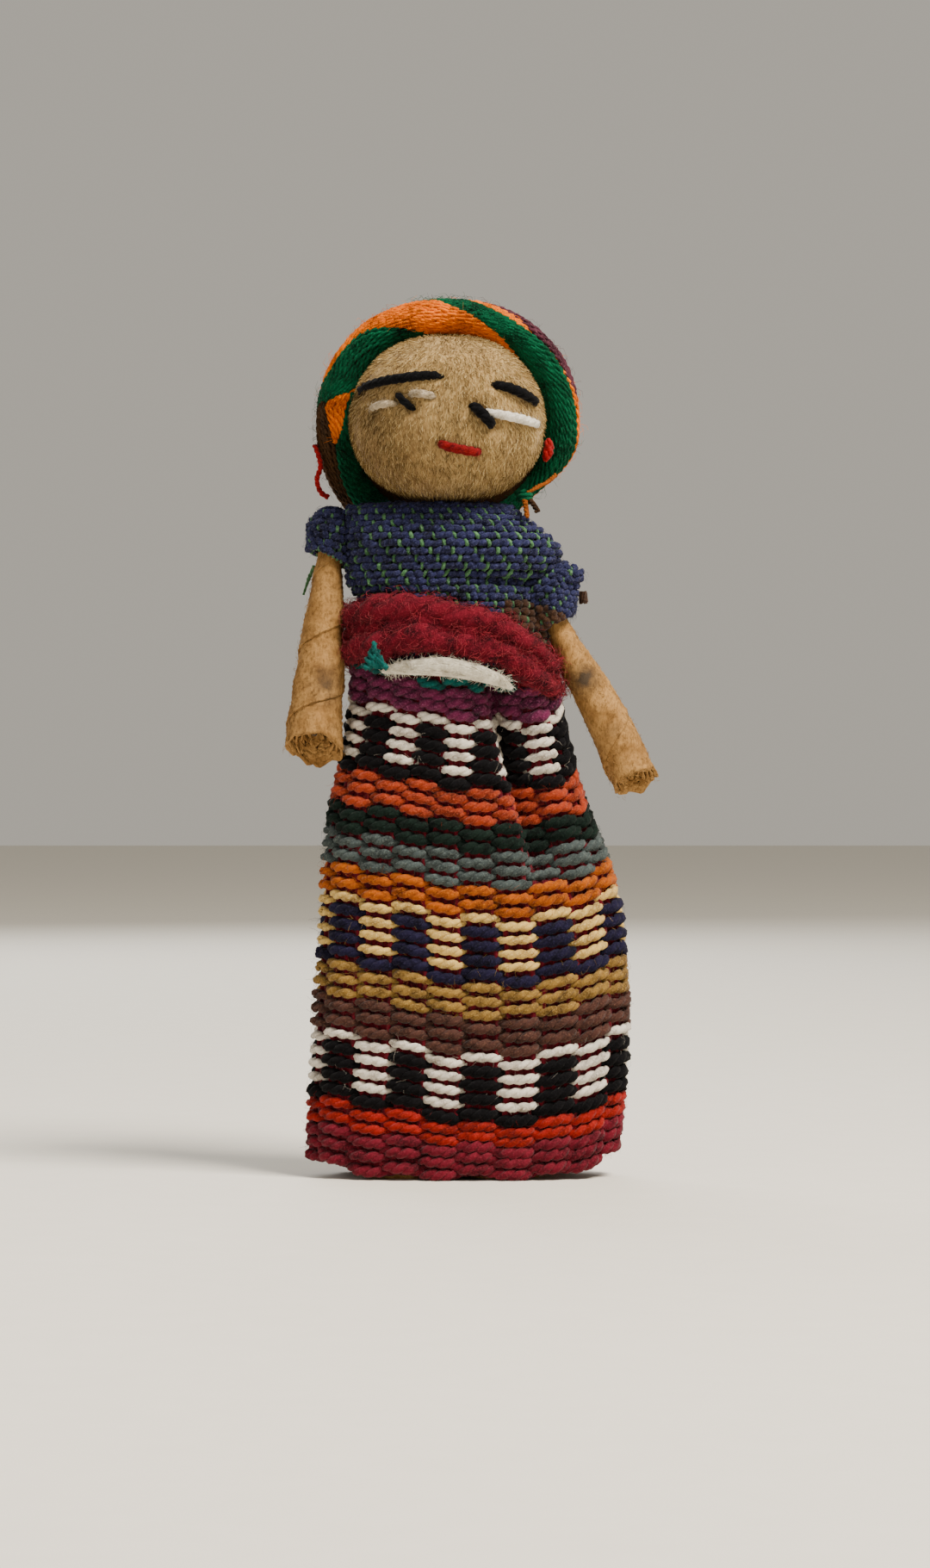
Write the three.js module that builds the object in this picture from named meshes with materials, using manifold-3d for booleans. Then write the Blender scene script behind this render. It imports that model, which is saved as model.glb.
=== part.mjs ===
// A small handmade cloth doll: a felt head in a wound yarn headwrap, a woven blouse with two sleeves, a wool sash,
// a woven skirt with one deep fold, and arms, legs and a torso of rolled kraft paper on bent wire.
// Units are millimetres and +Z is up. The doll faces -Y, so its own right hand is at -X.
// The origin is on the ground, below the middle of the doll's bounding box.
import * as THREE from 'three';
import { mergeVertices } from 'three/addons/utils/BufferGeometryUtils.js';
import Module from 'manifold-3d';

const wasm = await Module();
wasm.setup();

// Fits
const seat = 0.3; // gap between two pieces that rest on each other
const wireFit = 0.2; // gap round a wire in its bore

// Wire
const armWireRadius = 0.2;
const legWireRadius = 0.25;
const neckWireRadius = 0.3;
const wireSetback = 0.7; // from a paper roll's open end to the end of its wire
const kinkRadius = 0.35; // a wire's bend at a shoulder or at the neck
const wireCrossing = 0.9; // from the shoulder wire to the wires above and below it

// Torso and legs, which are rolls of kraft paper
const torsoX = -0.3;
const torsoRadius = 2.4;
const torsoTopInset = 1.6; // below the top of the blouse
const legRadius = 2.6;
const legLength = 15.2;
const legGap = 1.6; // between the two rolls
const hipGap = 3.4; // from the legs' tops to the torso's foot
const hairpinSpread = 0.55; // from the torso's axis to each run of the wire in it

// Skirt
const skirtLength = 34.4;
const skirtThickness = 1.1;
const hemRise = 1.2; // the hem's side corners above its middle
const foldDepth = 2.1;
const foldHalfWidth = 1.15;
const foldTopX = 2.7;
const foldFootX = 6.2;
const foldFoot = 20.5; // height at which the fold runs out

// Blouse
const blouseLength = 11.3;
const blouseThickness = 0.7;

// Sash
const sashFront = 1.5; // thickness over the belly
const sashSide = 0.75; // thickness under the doll's right arm
const sashBack = 1.1;
const sashRight = 1.2; // thickness beside the doll's left arm
const sashHeight = 4.8;
const sashSlope = 2.6; // how far its top edge drops on the doll's left
const cordNotch = 1.3; // how far its lower edge is lifted over the waist cord
const notchMiddle = -0.7;
const notchHalfWidth = 5.2;
const cordRadius = 0.6;
const cordTipRadius = 0.12;
const cordLeft = -5.0;
const cordRight = 3.6;
const cordTop = 0.9; // its high end above the skirt
const cordDrop = 1.5; // from its high end to its low end

// Arms
const rightShoulderDrop = 1.85; // below the top of the blouse
const rightShoulderOut = 0.8; // from the blouse's edge
const rightArmLean = 4.5; // degrees outwards
const rightArmForward = 8.7; // degrees
const rightArmLength = 14.9;
const leftShoulderDrop = 6.1;
const leftShoulderInset = 0.14; // inside the sash's edge
const leftArmLean = 23.6;
const leftArmForward = 2.7;
const leftArmLength = 14.0;
const rollStart = 0.9; // from the shoulder to the paper
const rightSleeveRadius = 1.75;
const rightSleeveLength = 1.9;
const leftSleeveRadius = 2.1;
const leftSleeveLength = 3.4;
const sleeveThickness = 0.5;

// Head
const headSize = new THREE.Vector3(6.85, 5.6, 5.4); // half sizes over the felt
const headX = -0.35;
const headForward = 1.0; // the head's middle in front of the neck
const feltThickness = 0.45;
const gatherRadius = 1.8; // the opening behind, where the felt is drawn together
const stitchRadius = 0.28;
const boldStitchRadius = 0.33;

// Headwrap, a ring of yarn that leans back, and the yarn cap behind it
const strandRadius = 0.34;
const strandOrbit = 0.96; // from the ring's centre line to a strand's
const strandLoops = 5;
const strandTwists = 2; // whole turns round the ring's centre line in each loop
const wrapLean = 21.8; // degrees
const wrapSideways = -0.36; // from the head's middle
const wrapCoreRadius = 0.3;
const endStrandRadius = 0.26;
const knotRadius = 0.5;
const capHeight = 3.1;
const capYarnRadius = 0.34;
const capYarnLoops = 4;

// Rooms that the cloth keeps round the rolls inside it
const legRoom = legRadius + seat + skirtThickness;
const torsoRoom = torsoRadius + seat + skirtThickness;
const chestRoom = torsoRadius + seat + blouseThickness;
const bundleRadius = strandOrbit + strandRadius;

// Skirt stations: share of its length from the hem, left edge, right edge, half depth
const skirtStations = [
  [0, -10.0, 11.0, legRoom + 0.2],
  [0.06, -10.4, 11.3, legRoom + 0.35],
  [0.3, -10.05, 11.85, legRoom + 0.35],
  [0.5, -9.6, 11.4, torsoRoom + 0.45],
  [0.62, -9.4, 10.6, torsoRoom + 0.4],
  [0.74, -8.9, 9.1, torsoRoom + 0.3],
  [0.86, -7.9, 7.9, torsoRoom + 0.15],
  [1, -7.35, 7.0, torsoRoom],
];

// Blouse stations: share of its length, left edge, right edge, half depth in front, half depth behind
const sashShare = sashHeight / blouseLength;
const blouseStations = [
  [0, -6.6, 5.4, chestRoom + 0.3, chestRoom + 0.1],
  [sashShare, -6.75, 5.5, chestRoom + 0.55, chestRoom + 0.05],
  [sashShare + 0.09, -7.5, 5.6, chestRoom + 0.7, chestRoom + 0.05],
  [sashShare + 0.19, -7.65, 6.9, chestRoom + 0.75, chestRoom + 0.05],
  [0.74, -7.7, 7.1, chestRoom + 0.95, chestRoom + 0.05],
  [0.85, -7.8, 5.8, chestRoom + 0.6, chestRoom + 0.05],
  [1, -7.9, 4.15, chestRoom - 0.4, chestRoom - 0.4],
];

// Arm stations: share of the arm's length from the shoulder, radius of the paper roll
const rightArmStations = [[rollStart / rightArmLength, 0.65], [0.235, 1.05], [0.537, 1.55], [1, 2.0]];
const leftArmStations = [[rollStart / leftArmLength, 0.75], [0.43, 1.1], [0.71, 1.35], [1, 1.55]];

// Levels and places that follow from the sizes above
const torsoBottom = legLength + hipGap;
const legSpread = legRadius + legGap / 2;
const blouseBottom = skirtLength + seat;
const blouseTop = blouseBottom + blouseLength;
const torsoTop = blouseTop - torsoTopInset;
const headCentre = new THREE.Vector3(headX, -headForward, blouseTop + seat + headSize.z);
const wrapCentre = headCentre.clone().add(new THREE.Vector3(wrapSideways, headSize.y + bundleRadius - 2.95, 0));
const wrapHalfWidth = headSize.x + bundleRadius - 0.58;
const wrapHalfHeight = headSize.z + bundleRadius + 0.91;
const capHalfWidth = wrapHalfWidth - bundleRadius - 0.67;

// Shapes of sections
const roundness = 2.4; // exponent of the flattened sections, where 2 is an ellipse
const around = 40; // points round a garment

const felt = new THREE.MeshStandardMaterial({ color: 0xb48f5c, roughness: 1 });
const wadding = new THREE.MeshStandardMaterial({ color: 0xe9e2d3, roughness: 1 });
const kraft = new THREE.MeshStandardMaterial({ color: 0xb58a52, roughness: 0.9 });
const steel = new THREE.MeshStandardMaterial({ color: 0x8d8f92, roughness: 0.45, metalness: 1 });
const navyCloth = new THREE.MeshStandardMaterial({ color: 0x2c2f52, roughness: 1 });
const brownYarn = new THREE.MeshStandardMaterial({ color: 0x4a3325, roughness: 1 });
const skirtCloth = new THREE.MeshStandardMaterial({ color: 0x5b3a35, roughness: 1 });
const crimsonWool = new THREE.MeshStandardMaterial({ color: 0x8e1f33, roughness: 1 });
const whiteYarn = new THREE.MeshStandardMaterial({ color: 0xded8cb, roughness: 1 });
const blackThread = new THREE.MeshStandardMaterial({ color: 0x17151a, roughness: 0.9 });
const redThread = new THREE.MeshStandardMaterial({ color: 0xb01e27, roughness: 0.9 });
const greenYarn = new THREE.MeshStandardMaterial({ color: 0x0f6b45, roughness: 0.95 });
const orangeYarn = new THREE.MeshStandardMaterial({ color: 0xd8701a, roughness: 0.95 });

const doll = new THREE.Group();

function add(parent, name, geometry, material) {
  const mesh = new THREE.Mesh(geometry, material);
  mesh.name = name;
  parent.add(mesh);
  return mesh;
}

// Turns a geometry into a solid that can be joined and cut. Slivers thinner than the tolerance are closed up.
const sliver = 0.005;
function toSolid(geometry) {
  const bare = geometry.clone();
  bare.deleteAttribute('normal');
  bare.deleteAttribute('uv');
  const merged = mergeVertices(bare, 1e-4);
  return new wasm.Manifold(
    new wasm.Mesh({
      numProp: 3,
      vertProperties: new Float32Array(merged.attributes.position.array),
      triVerts: new Uint32Array(merged.index.array),
      tolerance: sliver,
    }),
  );
}

// Cuts the tools out of a geometry.
function cut(geometry, ...tools) {
  let solid = toSolid(geometry);
  for (const tool of tools) solid = solid.subtract(toSolid(tool));
  const mesh = solid.getMesh();
  const result = new THREE.BufferGeometry();
  result.setAttribute('position', new THREE.BufferAttribute(mesh.vertProperties, 3));
  result.setIndex(new THREE.BufferAttribute(mesh.triVerts, 1));
  result.computeVertexNormals();
  return result;
}

function volumeOf(positions, index) {
  const a = new THREE.Vector3();
  const b = new THREE.Vector3();
  const c = new THREE.Vector3();
  let volume = 0;
  for (let i = 0; i < index.length; i += 3) {
    a.fromArray(positions, 3 * index[i]);
    b.fromArray(positions, 3 * index[i + 1]);
    c.fromArray(positions, 3 * index[i + 2]);
    volume += a.dot(b.cross(c)) / 6;
  }
  return volume;
}

// Joins rings of points into a closed body. A looped body's last ring meets its first, as in the wall of a tube, and
// any other body is capped at both ends.
function loft(rings, looped) {
  const count = rings[0].length;
  const positions = rings.flat().flatMap((p) => [p.x, p.y, p.z]);
  const index = [];
  const bands = looped ? rings.length : rings.length - 1;
  for (let j = 0; j < bands; j++) {
    for (let i = 0; i < count; i++) {
      const a = j * count + i;
      const b = j * count + ((i + 1) % count);
      const c = ((j + 1) % rings.length) * count + i;
      const d = ((j + 1) % rings.length) * count + ((i + 1) % count);
      index.push(a, b, d, a, d, c);
    }
  }
  if (!looped) {
    for (const [ring, turned] of [[0, true], [rings.length - 1, false]]) {
      const middle = new THREE.Vector3();
      for (const p of rings[ring]) middle.addScaledVector(p, 1 / count);
      positions.push(middle.x, middle.y, middle.z);
      const hub = positions.length / 3 - 1;
      for (let i = 0; i < count; i++) {
        const a = ring * count + i;
        const b = ring * count + ((i + 1) % count);
        index.push(...(turned ? [hub, b, a] : [hub, a, b]));
      }
    }
  }
  if (volumeOf(positions, index) < 0) index.reverse();
  const geometry = new THREE.BufferGeometry();
  geometry.setAttribute('position', new THREE.Float32BufferAttribute(positions, 3));
  geometry.setIndex(index);
  geometry.computeVertexNormals();
  return geometry;
}

// Spins a profile round Z. The profile may run either way round.
function lathe(profile, segments) {
  let turn = 0;
  profile.forEach(([r, z], i) => {
    const [nextR, nextZ] = profile[(i + 1) % profile.length];
    turn += r * nextZ - nextR * z;
  });
  const points = profile.map(([r, z]) => new THREE.Vector2(r, z));
  if (turn < 0) points.reverse();
  return new THREE.LatheGeometry(points, segments).rotateX(Math.PI / 2);
}

// A paper roll with a bore, along +Z.
function roll(bottom, top, radius, bore) {
  return lathe([[bore, bottom], [radius, bottom], [radius, top], [bore, top], [bore, bottom]], 20);
}

function circle(radius, sides) {
  const shape = new THREE.Shape();
  for (let i = 0; i < sides; i++) {
    const a = (2 * Math.PI * i) / sides;
    if (i === 0) shape.moveTo(radius, 0);
    else shape.lineTo(radius * Math.cos(a), radius * Math.sin(a));
  }
  shape.closePath();
  return shape;
}

// A smooth tube past a few points.
function tube(points, radius, sides, steps) {
  const path = new THREE.CatmullRomCurve3(points);
  return new THREE.ExtrudeGeometry(circle(radius, sides), { steps, extrudePath: path, bevelEnabled: false });
}

// A straight rod between two points.
function rod(from, to, radius, sides = 8) {
  return new THREE.ExtrudeGeometry(circle(radius, sides), {
    steps: 1,
    extrudePath: new THREE.LineCurve3(from, to),
    bevelEnabled: false,
  });
}

// One unbroken tube through all of its points, for thread and wound yarn.
function woundTube(line, radius, sides) {
  let across = new THREE.Vector3(0, 0, 1);
  const rings = line.map((p, k) => {
    const before = line[Math.max(k - 1, 0)];
    const after = line[Math.min(k + 1, line.length - 1)];
    const tangent = after.clone().sub(before).normalize();
    across = across.clone().addScaledVector(tangent, -across.dot(tangent)).normalize();
    const other = tangent.clone().cross(across);
    return Array.from({ length: sides }, (_, i) => {
      const a = (2 * Math.PI * i) / sides;
      return p.clone().addScaledVector(across, radius * Math.cos(a)).addScaledVector(other, radius * Math.sin(a));
    });
  });
  return loft(rings, false);
}

// Values of a table of stations at a share of its length, on straight lines between the stations.
function stationAt(stations, share) {
  let k = 0;
  while (k < stations.length - 2 && stations[k + 1][0] < share) k++;
  const [low, high] = [stations[k], stations[k + 1]];
  const t = (share - low[0]) / (high[0] - low[0]);
  return low.slice(1).map((value, i) => THREE.MathUtils.lerp(value, high[i + 1], t));
}

// A point of a flattened section. Inset moves it inwards, and a negative inset outwards.
function section(angle, left, right, front, back, inset) {
  const power = 2 / roundness;
  const [c, s] = [Math.cos(angle), Math.sin(angle)];
  const depth = s < 0 ? front : back;
  const x = (left + right) / 2 + ((right - left) / 2 - inset) * Math.sign(c) * Math.abs(c) ** power;
  const y = (depth - inset) * Math.sign(s) * Math.abs(s) ** power;
  return [x, y];
}

function skirtPoint(angle, share, inset) {
  const [left, right, depth] = stationAt(skirtStations, share);
  const [x, y] = section(angle, left, right, depth, depth, inset);
  const z = share * skirtLength;
  const along = THREE.MathUtils.clamp((z - foldFoot) / (skirtLength - foldFoot), 0, 1);
  const foldX = THREE.MathUtils.lerp(foldFootX, foldTopX, along);
  const dent = foldDepth * Math.sqrt(along) * Math.exp(-(((x - foldX) / foldHalfWidth) ** 2));
  const folded = y < 0 ? Math.min(y + dent, 0) : y;
  return new THREE.Vector3(x, folded, z + hemRise * (1 - share) * Math.cos(angle) ** 2);
}

function blousePoint(angle, share, inset) {
  const [left, right, front, back] = stationAt(blouseStations, share);
  const [x, y] = section(angle, left, right, front, back, inset);
  return new THREE.Vector3(x, y, blouseBottom + share * blouseLength);
}

const angles = Array.from({ length: around }, (_, i) => (2 * Math.PI * i) / around);
const ringOf = (point, share, inset) => angles.map((a) => point(a, share, inset));

// The wall of a garment, from its own outer face to one a thickness further in.
function garment(point, outerShares, innerShares, thickness) {
  const outer = outerShares.map((share) => ringOf(point, share, 0));
  const inner = innerShares.map((share) => ringOf(point, share, thickness)).reverse();
  return loft([...outer, ...inner], true);
}

// Everything inside a garment, between two shares of its length.
function filling(point, shares, inset) {
  return loft(shares.map((share) => ringOf(point, share, inset)), false);
}

// Places of the shoulders, and the level at which the wire between them crosses the torso's axis
function shoulder(drop, out, edge) {
  const share = 1 - drop / blouseLength;
  const x = stationAt(blouseStations, share)[edge] + (edge === 0 ? -out : out);
  return new THREE.Vector3(x, 0, blouseTop - drop);
}
const rightShoulder = shoulder(rightShoulderDrop, rightShoulderOut, 0);
const leftShoulder = shoulder(leftShoulderDrop, sashRight - leftShoulderInset, 1);
const shoulderLine = leftShoulder.clone().sub(rightShoulder).normalize();
const crossing = rightShoulder.z + ((torsoX - rightShoulder.x) * shoulderLine.z) / shoulderLine.x;

// Legs and torso
const boreRoom = wireFit + 0.1; // round the wires inside paper and cloth
const hairpinBore = hairpinSpread + legWireRadius + boreRoom;
const legX = [torsoX - legSpread, torsoX + legSpread];
const wireStart = rightShoulder.clone().addScaledVector(shoulderLine, kinkRadius + seat);
const wireEnd = leftShoulder.clone().addScaledVector(shoulderLine, -kinkRadius - seat);
const shoulderBore = rod(wireStart, wireEnd, armWireRadius + boreRoom);

add(doll, 'torso_paper_roll', cut(
  roll(torsoBottom, torsoTop, torsoRadius, hairpinBore).translate(torsoX, 0, 0),
  shoulderBore,
), kraft);
['right', 'left'].forEach((side, i) => {
  const leg = roll(0, legLength, legRadius, legWireRadius + boreRoom);
  add(doll, `${side}_leg_paper_roll`, leg, kraft).position.x = legX[i];
});

// The wire runs up one leg, through the torso, over a hairpin bend and down the other leg.
const hairpinTop = crossing - wireCrossing;
const hipBend = 0.4; // where the wire starts to bend, below a leg's top and above the torso's foot
const halfHairpin = [
  [legSpread, wireSetback],
  [legSpread, legLength / 2],
  [legSpread, legLength - hipBend],
  [(legSpread + hairpinSpread) / 2, (legLength + torsoBottom) / 2],
  [hairpinSpread, torsoBottom + hipBend],
  [hairpinSpread, (torsoBottom + hairpinTop) / 2],
  [hairpinSpread, hairpinTop - hairpinSpread],
];
const hairpin = [
  ...halfHairpin.map(([x, z]) => new THREE.Vector3(torsoX - x, 0, z)),
  new THREE.Vector3(torsoX, 0, hairpinTop),
  ...halfHairpin.map(([x, z]) => new THREE.Vector3(torsoX + x, 0, z)).reverse(),
];
add(doll, 'leg_and_spine_wire', tube(hairpin, legWireRadius, 5, 56), steel);
add(doll, 'shoulder_wire', rod(wireStart, wireEnd, armWireRadius, 6), steel);

// Wadding
const skirtInnerShares = [0, 0.16, 0.3, 0.5, 0.62, 0.74, 0.86, 1];
const blouseInnerShares = [0, sashShare, sashShare + 0.19, 0.85, 1];

// Everything of one side of the doll that lies nearer its other side than a given distance from the torso's axis.
function otherSide(hand, distance) {
  const size = 4 * blouseTop;
  return new THREE.BoxGeometry(size, size, size).translate(torsoX + hand * (distance - size / 2), 0, 0);
}
[['right', -1], ['left', 1]].forEach(([side, hand], i) => {
  const legClear = new THREE.CylinderGeometry(legRadius + seat, legRadius + seat, 2 * (legLength + seat), 20)
    .rotateX(Math.PI / 2)
    .translate(legX[i], 0, 0);
  add(doll, `${side}_skirt_wadding`, cut(
    filling(skirtPoint, skirtInnerShares.slice(1), skirtThickness + seat),
    otherSide(hand, legSpread + legWireRadius + boreRoom),
    legClear,
  ), wadding);
  add(doll, `${side}_chest_wadding`, cut(
    filling(blousePoint, blouseInnerShares.slice(0, -1), blouseThickness + seat),
    otherSide(hand, torsoRadius + seat),
    shoulderBore,
  ), wadding);
});

// Skirt
add(doll, 'skirt', garment(
  skirtPoint,
  [0, 0.04, 0.14, 0.3, 0.5, 0.62, 0.68, 0.74, 0.8, 0.86, 0.93, 1],
  skirtInnerShares,
  skirtThickness,
), skirtCloth);

// The back seam, one thread whipped over the edge: a slanted stitch across, then a step up, all the way
const seamStitchCount = 9;
const seamStitchLength = 1.5;
const seamPoints = Array.from({ length: 2 * seamStitchCount }, (_, i) => {
  const share = 0.08 + (0.84 * i) / (2 * seamStitchCount - 1);
  const hand = Math.floor((i + 1) / 2) % 2 ? 1 : -1;
  const onCloth = skirtPoint(Math.PI / 2, share, -seat - stitchRadius);
  return onCloth.add(new THREE.Vector3((hand * seamStitchLength) / 2, 0, 0));
});
add(doll, 'skirt_seam_thread', woundTube(seamPoints, stitchRadius, 5), redThread);

// Blouse
add(doll, 'blouse', cut(
  garment(blousePoint, blouseStations.map(([share]) => share), blouseInnerShares, blouseThickness),
  shoulderBore,
), navyCloth);

// Sash, whose section is given as shares of its height and thickness
const sashShape = [[0, 0], [0.05, 0.75], [0.3, 1], [0.7, 0.92], [0.95, 0.55], [1, 0]];

function sashThickness(angle) {
  const [c, s] = [Math.cos(angle), Math.sin(angle)];
  const side = c > 0 ? sashRight : sashSide;
  const middle = s < 0 ? sashFront : sashBack;
  return side + (middle - side) * Math.abs(s) ** 1.5;
}

// A point at a share of the sash's height, lying off the blouse by the outset.
function sashPoint(angle, share, outset) {
  const [c, s] = [Math.cos(angle), Math.sin(angle)];
  const across = (blousePoint(angle, 0, 0).x - notchMiddle) / notchHalfWidth;
  const notch = s < 0 ? cordNotch * Math.exp(-(across ** 8)) : 0;
  const top = sashHeight - sashSlope * THREE.MathUtils.smoothstep(c, 0.2, 1);
  const rise = notch + share * (top - notch);
  return blousePoint(angle, rise / blouseLength, -outset);
}

// A ring of the sash, or of the space it takes with some room about it.
const sashRing = (share, thick, room) => angles.map((a) => {
  const outset = seat + thick * sashThickness(a) + room;
  return sashPoint(a, share, outset).add(new THREE.Vector3(0, 0, Math.sign(share - 0.5) * room));
});
add(doll, 'wool_sash', loft(sashShape.map(([share, thick]) => sashRing(share, thick, 0)), true), crimsonWool);

// Waist cord, a thick strand that thins towards the ends where it goes under the cloth
const cordSteps = 10;
const cordRings = Array.from({ length: cordSteps + 1 }, (_, k) => {
  const t = k / cordSteps;
  const x = THREE.MathUtils.lerp(cordLeft, cordRight, t);
  const z = skirtLength + cordTop - cordDrop * t ** 1.6;
  const radius = cordTipRadius + (cordRadius - cordTipRadius) * Math.sin(Math.PI * t) ** 0.6;
  const [left, right, depth] = stationAt(skirtStations, 1);
  const across = (x - (left + right) / 2) / ((right - left) / 2);
  const y = -depth * (1 - 0.35 * across ** 2) - seat - radius;
  return Array.from({ length: 8 }, (_, i) => {
    const a = (2 * Math.PI * i) / 8;
    return new THREE.Vector3(x, y + radius * Math.cos(a), z + radius * Math.sin(a));
  });
});
add(doll, 'waist_cord', loft(cordRings, false), whiteYarn);

// Arms, each built hanging along -Z from its shoulder and then turned towards the hand
const armBore = armWireRadius + wireFit;
function arm(side, place, lean, forward, length, stations, sleeveRadius, sleeveLength) {
  const [out, front] = [lean, forward].map((angle) => Math.tan(THREE.MathUtils.degToRad(angle)));
  const group = new THREE.Group();
  const direction = new THREE.Vector3(side === 'right' ? -out : out, -front, -1).normalize();
  group.position.copy(place);
  group.quaternion.setFromUnitVectors(new THREE.Vector3(0, 0, -1), direction);
  doll.add(group);
  const outside = stations.map(([share, r]) => [r, -share * length]);
  const inside = [[armBore, -length], [armBore, -rollStart]];
  add(group, `${side}_arm_paper_roll`, lathe([...outside, ...inside, outside[0]], 16), kraft);
  const wireTop = new THREE.Vector3(0, 0, -kinkRadius - seat);
  add(group, `${side}_arm_wire`, rod(wireTop, new THREE.Vector3(0, 0, wireSetback - length), armWireRadius, 6), steel);
  add(group, `${side}_shoulder_wire_bend`, new THREE.SphereGeometry(kinkRadius, 8, 6), steel);

  const inner = sleeveRadius - sleeveThickness;
  const mouth = 0.93; // the sleeve's mouth against its widest part
  const dome = (r) => [90, 60, 30, 0].map((deg) => {
    const a = THREE.MathUtils.degToRad(deg);
    return [deg === 90 ? 0 : r * Math.cos(a), r * Math.sin(a)];
  });
  const lip = [[sleeveRadius * mouth, -sleeveLength], [inner * mouth, -sleeveLength]];
  const sleeve = lathe([...dome(sleeveRadius), ...lip, ...dome(inner).reverse()], 18);
  group.updateMatrixWorld(true);
  sleeve.applyMatrix4(group.matrixWorld);
  const levels = [-0.05, ...blouseStations.slice(1, -1).map(([share]) => share), 1.03];
  const blouseSpace = filling(blousePoint, levels, -2 * seat);
  const sashSpace = loft(sashShape.map(([share, thick]) => sashRing(share, thick, seat)), false);
  add(doll, `${side}_sleeve`, cut(sleeve, blouseSpace, sashSpace, shoulderBore), navyCloth);
}
arm('right', rightShoulder, rightArmLean, rightArmForward, rightArmLength, rightArmStations,
  rightSleeveRadius, rightSleeveLength);
arm('left', leftShoulder, leftArmLean, leftArmForward, leftArmLength, leftArmStations,
  leftSleeveRadius, leftSleeveLength);

// A loose warp end that hangs out of the right sleeve, and a cut weft end beside the left one
const looseWarp = [[-1.2, 0.4, -2.3], [-1.6, 0.5, -3.2], [-1.95, 0.3, -4.3]];
add(doll, 'loose_warp_end', tube(
  looseWarp.map(([x, y, z]) => rightShoulder.clone().add(new THREE.Vector3(x, y, z))),
  0.16,
  5,
  4,
), greenYarn);
const stubX = leftSleeveRadius + 0.62;
const weftStub = [[stubX, 1.0, -0.9], [stubX + 0.1, 1.05, 0.1]];
add(doll, 'cut_weft_end', rod(
  ...weftStub.map(([x, y, z]) => leftShoulder.clone().add(new THREE.Vector3(x, y, z))),
  0.32,
  6,
), brownYarn);

// Head
function ellipsoid(halfSizes, across, down) {
  return new THREE.SphereGeometry(1, across, down).rotateX(Math.PI / 2).scale(halfSizes.x, halfSizes.y, halfSizes.z);
}
const shrunk = (by) => headSize.clone().subScalar(by);
const atHead = (geometry) => geometry.translate(headCentre.x, headCentre.y, headCentre.z);
const neckZ = (torsoTop + blouseTop) / 2; // the neck's bend, in the blouse's collar
const onNeck = (z) => new THREE.Vector3(torsoX, 0, z);
const neckBore = rod(onNeck(torsoTop), onNeck(headCentre.z), neckWireRadius + boreRoom);
const gather = new THREE.CylinderGeometry(gatherRadius, gatherRadius, 2 * headSize.y, 12).translate(0, headSize.y, 0);
add(doll, 'head_felt', cut(
  atHead(ellipsoid(headSize, 22, 14)),
  atHead(ellipsoid(shrunk(feltThickness), 18, 12)),
  atHead(gather),
  neckBore,
), felt);
add(doll, 'head_stuffing', cut(
  atHead(ellipsoid(shrunk(feltThickness + seat), 14, 10)),
  neckBore,
), wadding);
const neckStart = crossing + wireCrossing;
add(doll, 'neck_wire', rod(onNeck(neckStart), onNeck(neckZ - kinkRadius - seat), neckWireRadius, 6), steel);
add(doll, 'neck_wire_bend', new THREE.SphereGeometry(kinkRadius, 8, 6).translate(torsoX, 0, neckZ), steel);
add(doll, 'head_wire', rod(
  onNeck(neckZ + kinkRadius + seat),
  onNeck(headCentre.z - seat),
  neckWireRadius,
  6,
), steel);

// Stitches of the face. Each end's place is a share of the head's half width and half height from its middle.
function facePoint(u, w, lift) {
  const y = -Math.sqrt(1 - u * u - w * w);
  const onFelt = new THREE.Vector3(u, y, w).multiply(headSize);
  const normal = new THREE.Vector3(u, y, w).divide(headSize).normalize();
  return onFelt.add(headCentre).addScaledVector(normal, lift);
}
function stitch(name, from, to, radius, material) {
  const points = [0, 0.5, 1].map((t) => {
    const u = THREE.MathUtils.lerp(from[0], to[0], t);
    const w = THREE.MathUtils.lerp(from[1], to[1], t);
    return facePoint(u, w, seat + radius);
  });
  add(doll, name, tube(points, radius, 5, 4), material);
}
stitch('right_eyebrow', [-0.84, 0.4], [-0.1, 0.477], boldStitchRadius, blackThread);
stitch('left_eyebrow', [0.424, 0.377], [0.845, 0.2], boldStitchRadius, blackThread);
stitch('right_eye_outer_white', [-0.8, 0.085], [-0.58, 0.135], stitchRadius, whiteYarn);
stitch('right_eye_inner_white', [-0.385, 0.243], [-0.18, 0.225], stitchRadius, whiteYarn);
stitch('right_pupil', [-0.525, 0.245], [-0.39, 0.07], stitchRadius, blackThread);
stitch('left_eye_white', [0.48, -0.005], [0.905, -0.097], stitchRadius, whiteYarn);
stitch('left_pupil', [0.222, 0.108], [0.4, -0.145], boldStitchRadius, blackThread);
stitch('mouth', [-0.125, -0.375], [0.287, -0.472], boldStitchRadius, redThread);

// Headwrap, in a frame whose X and Y lie in the ring's plane and whose Z points back through the cap
const wrapFrame = new THREE.Matrix4().makeBasis(
  new THREE.Vector3(-1, 0, 0),
  new THREE.Vector3(0, -Math.sin(THREE.MathUtils.degToRad(wrapLean)), Math.cos(THREE.MathUtils.degToRad(wrapLean))),
  new THREE.Vector3(0, Math.cos(THREE.MathUtils.degToRad(wrapLean)), Math.sin(THREE.MathUtils.degToRad(wrapLean))),
).setPosition(wrapCentre);

// A point at an angle round the ring, which starts at the nape, and at an angle and distance round its centre line.
function ringPoint(turn, twist, distance) {
  const a = turn - Math.PI / 2;
  const out = new THREE.Vector3(Math.cos(a) / wrapHalfWidth, Math.sin(a) / wrapHalfHeight, 0).normalize();
  return new THREE.Vector3(wrapHalfWidth * Math.cos(a), wrapHalfHeight * Math.sin(a), 0)
    .addScaledVector(out, distance * Math.cos(twist))
    .add(new THREE.Vector3(0, 0, distance * Math.sin(twist)))
    .applyMatrix4(wrapFrame);
}

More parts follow.
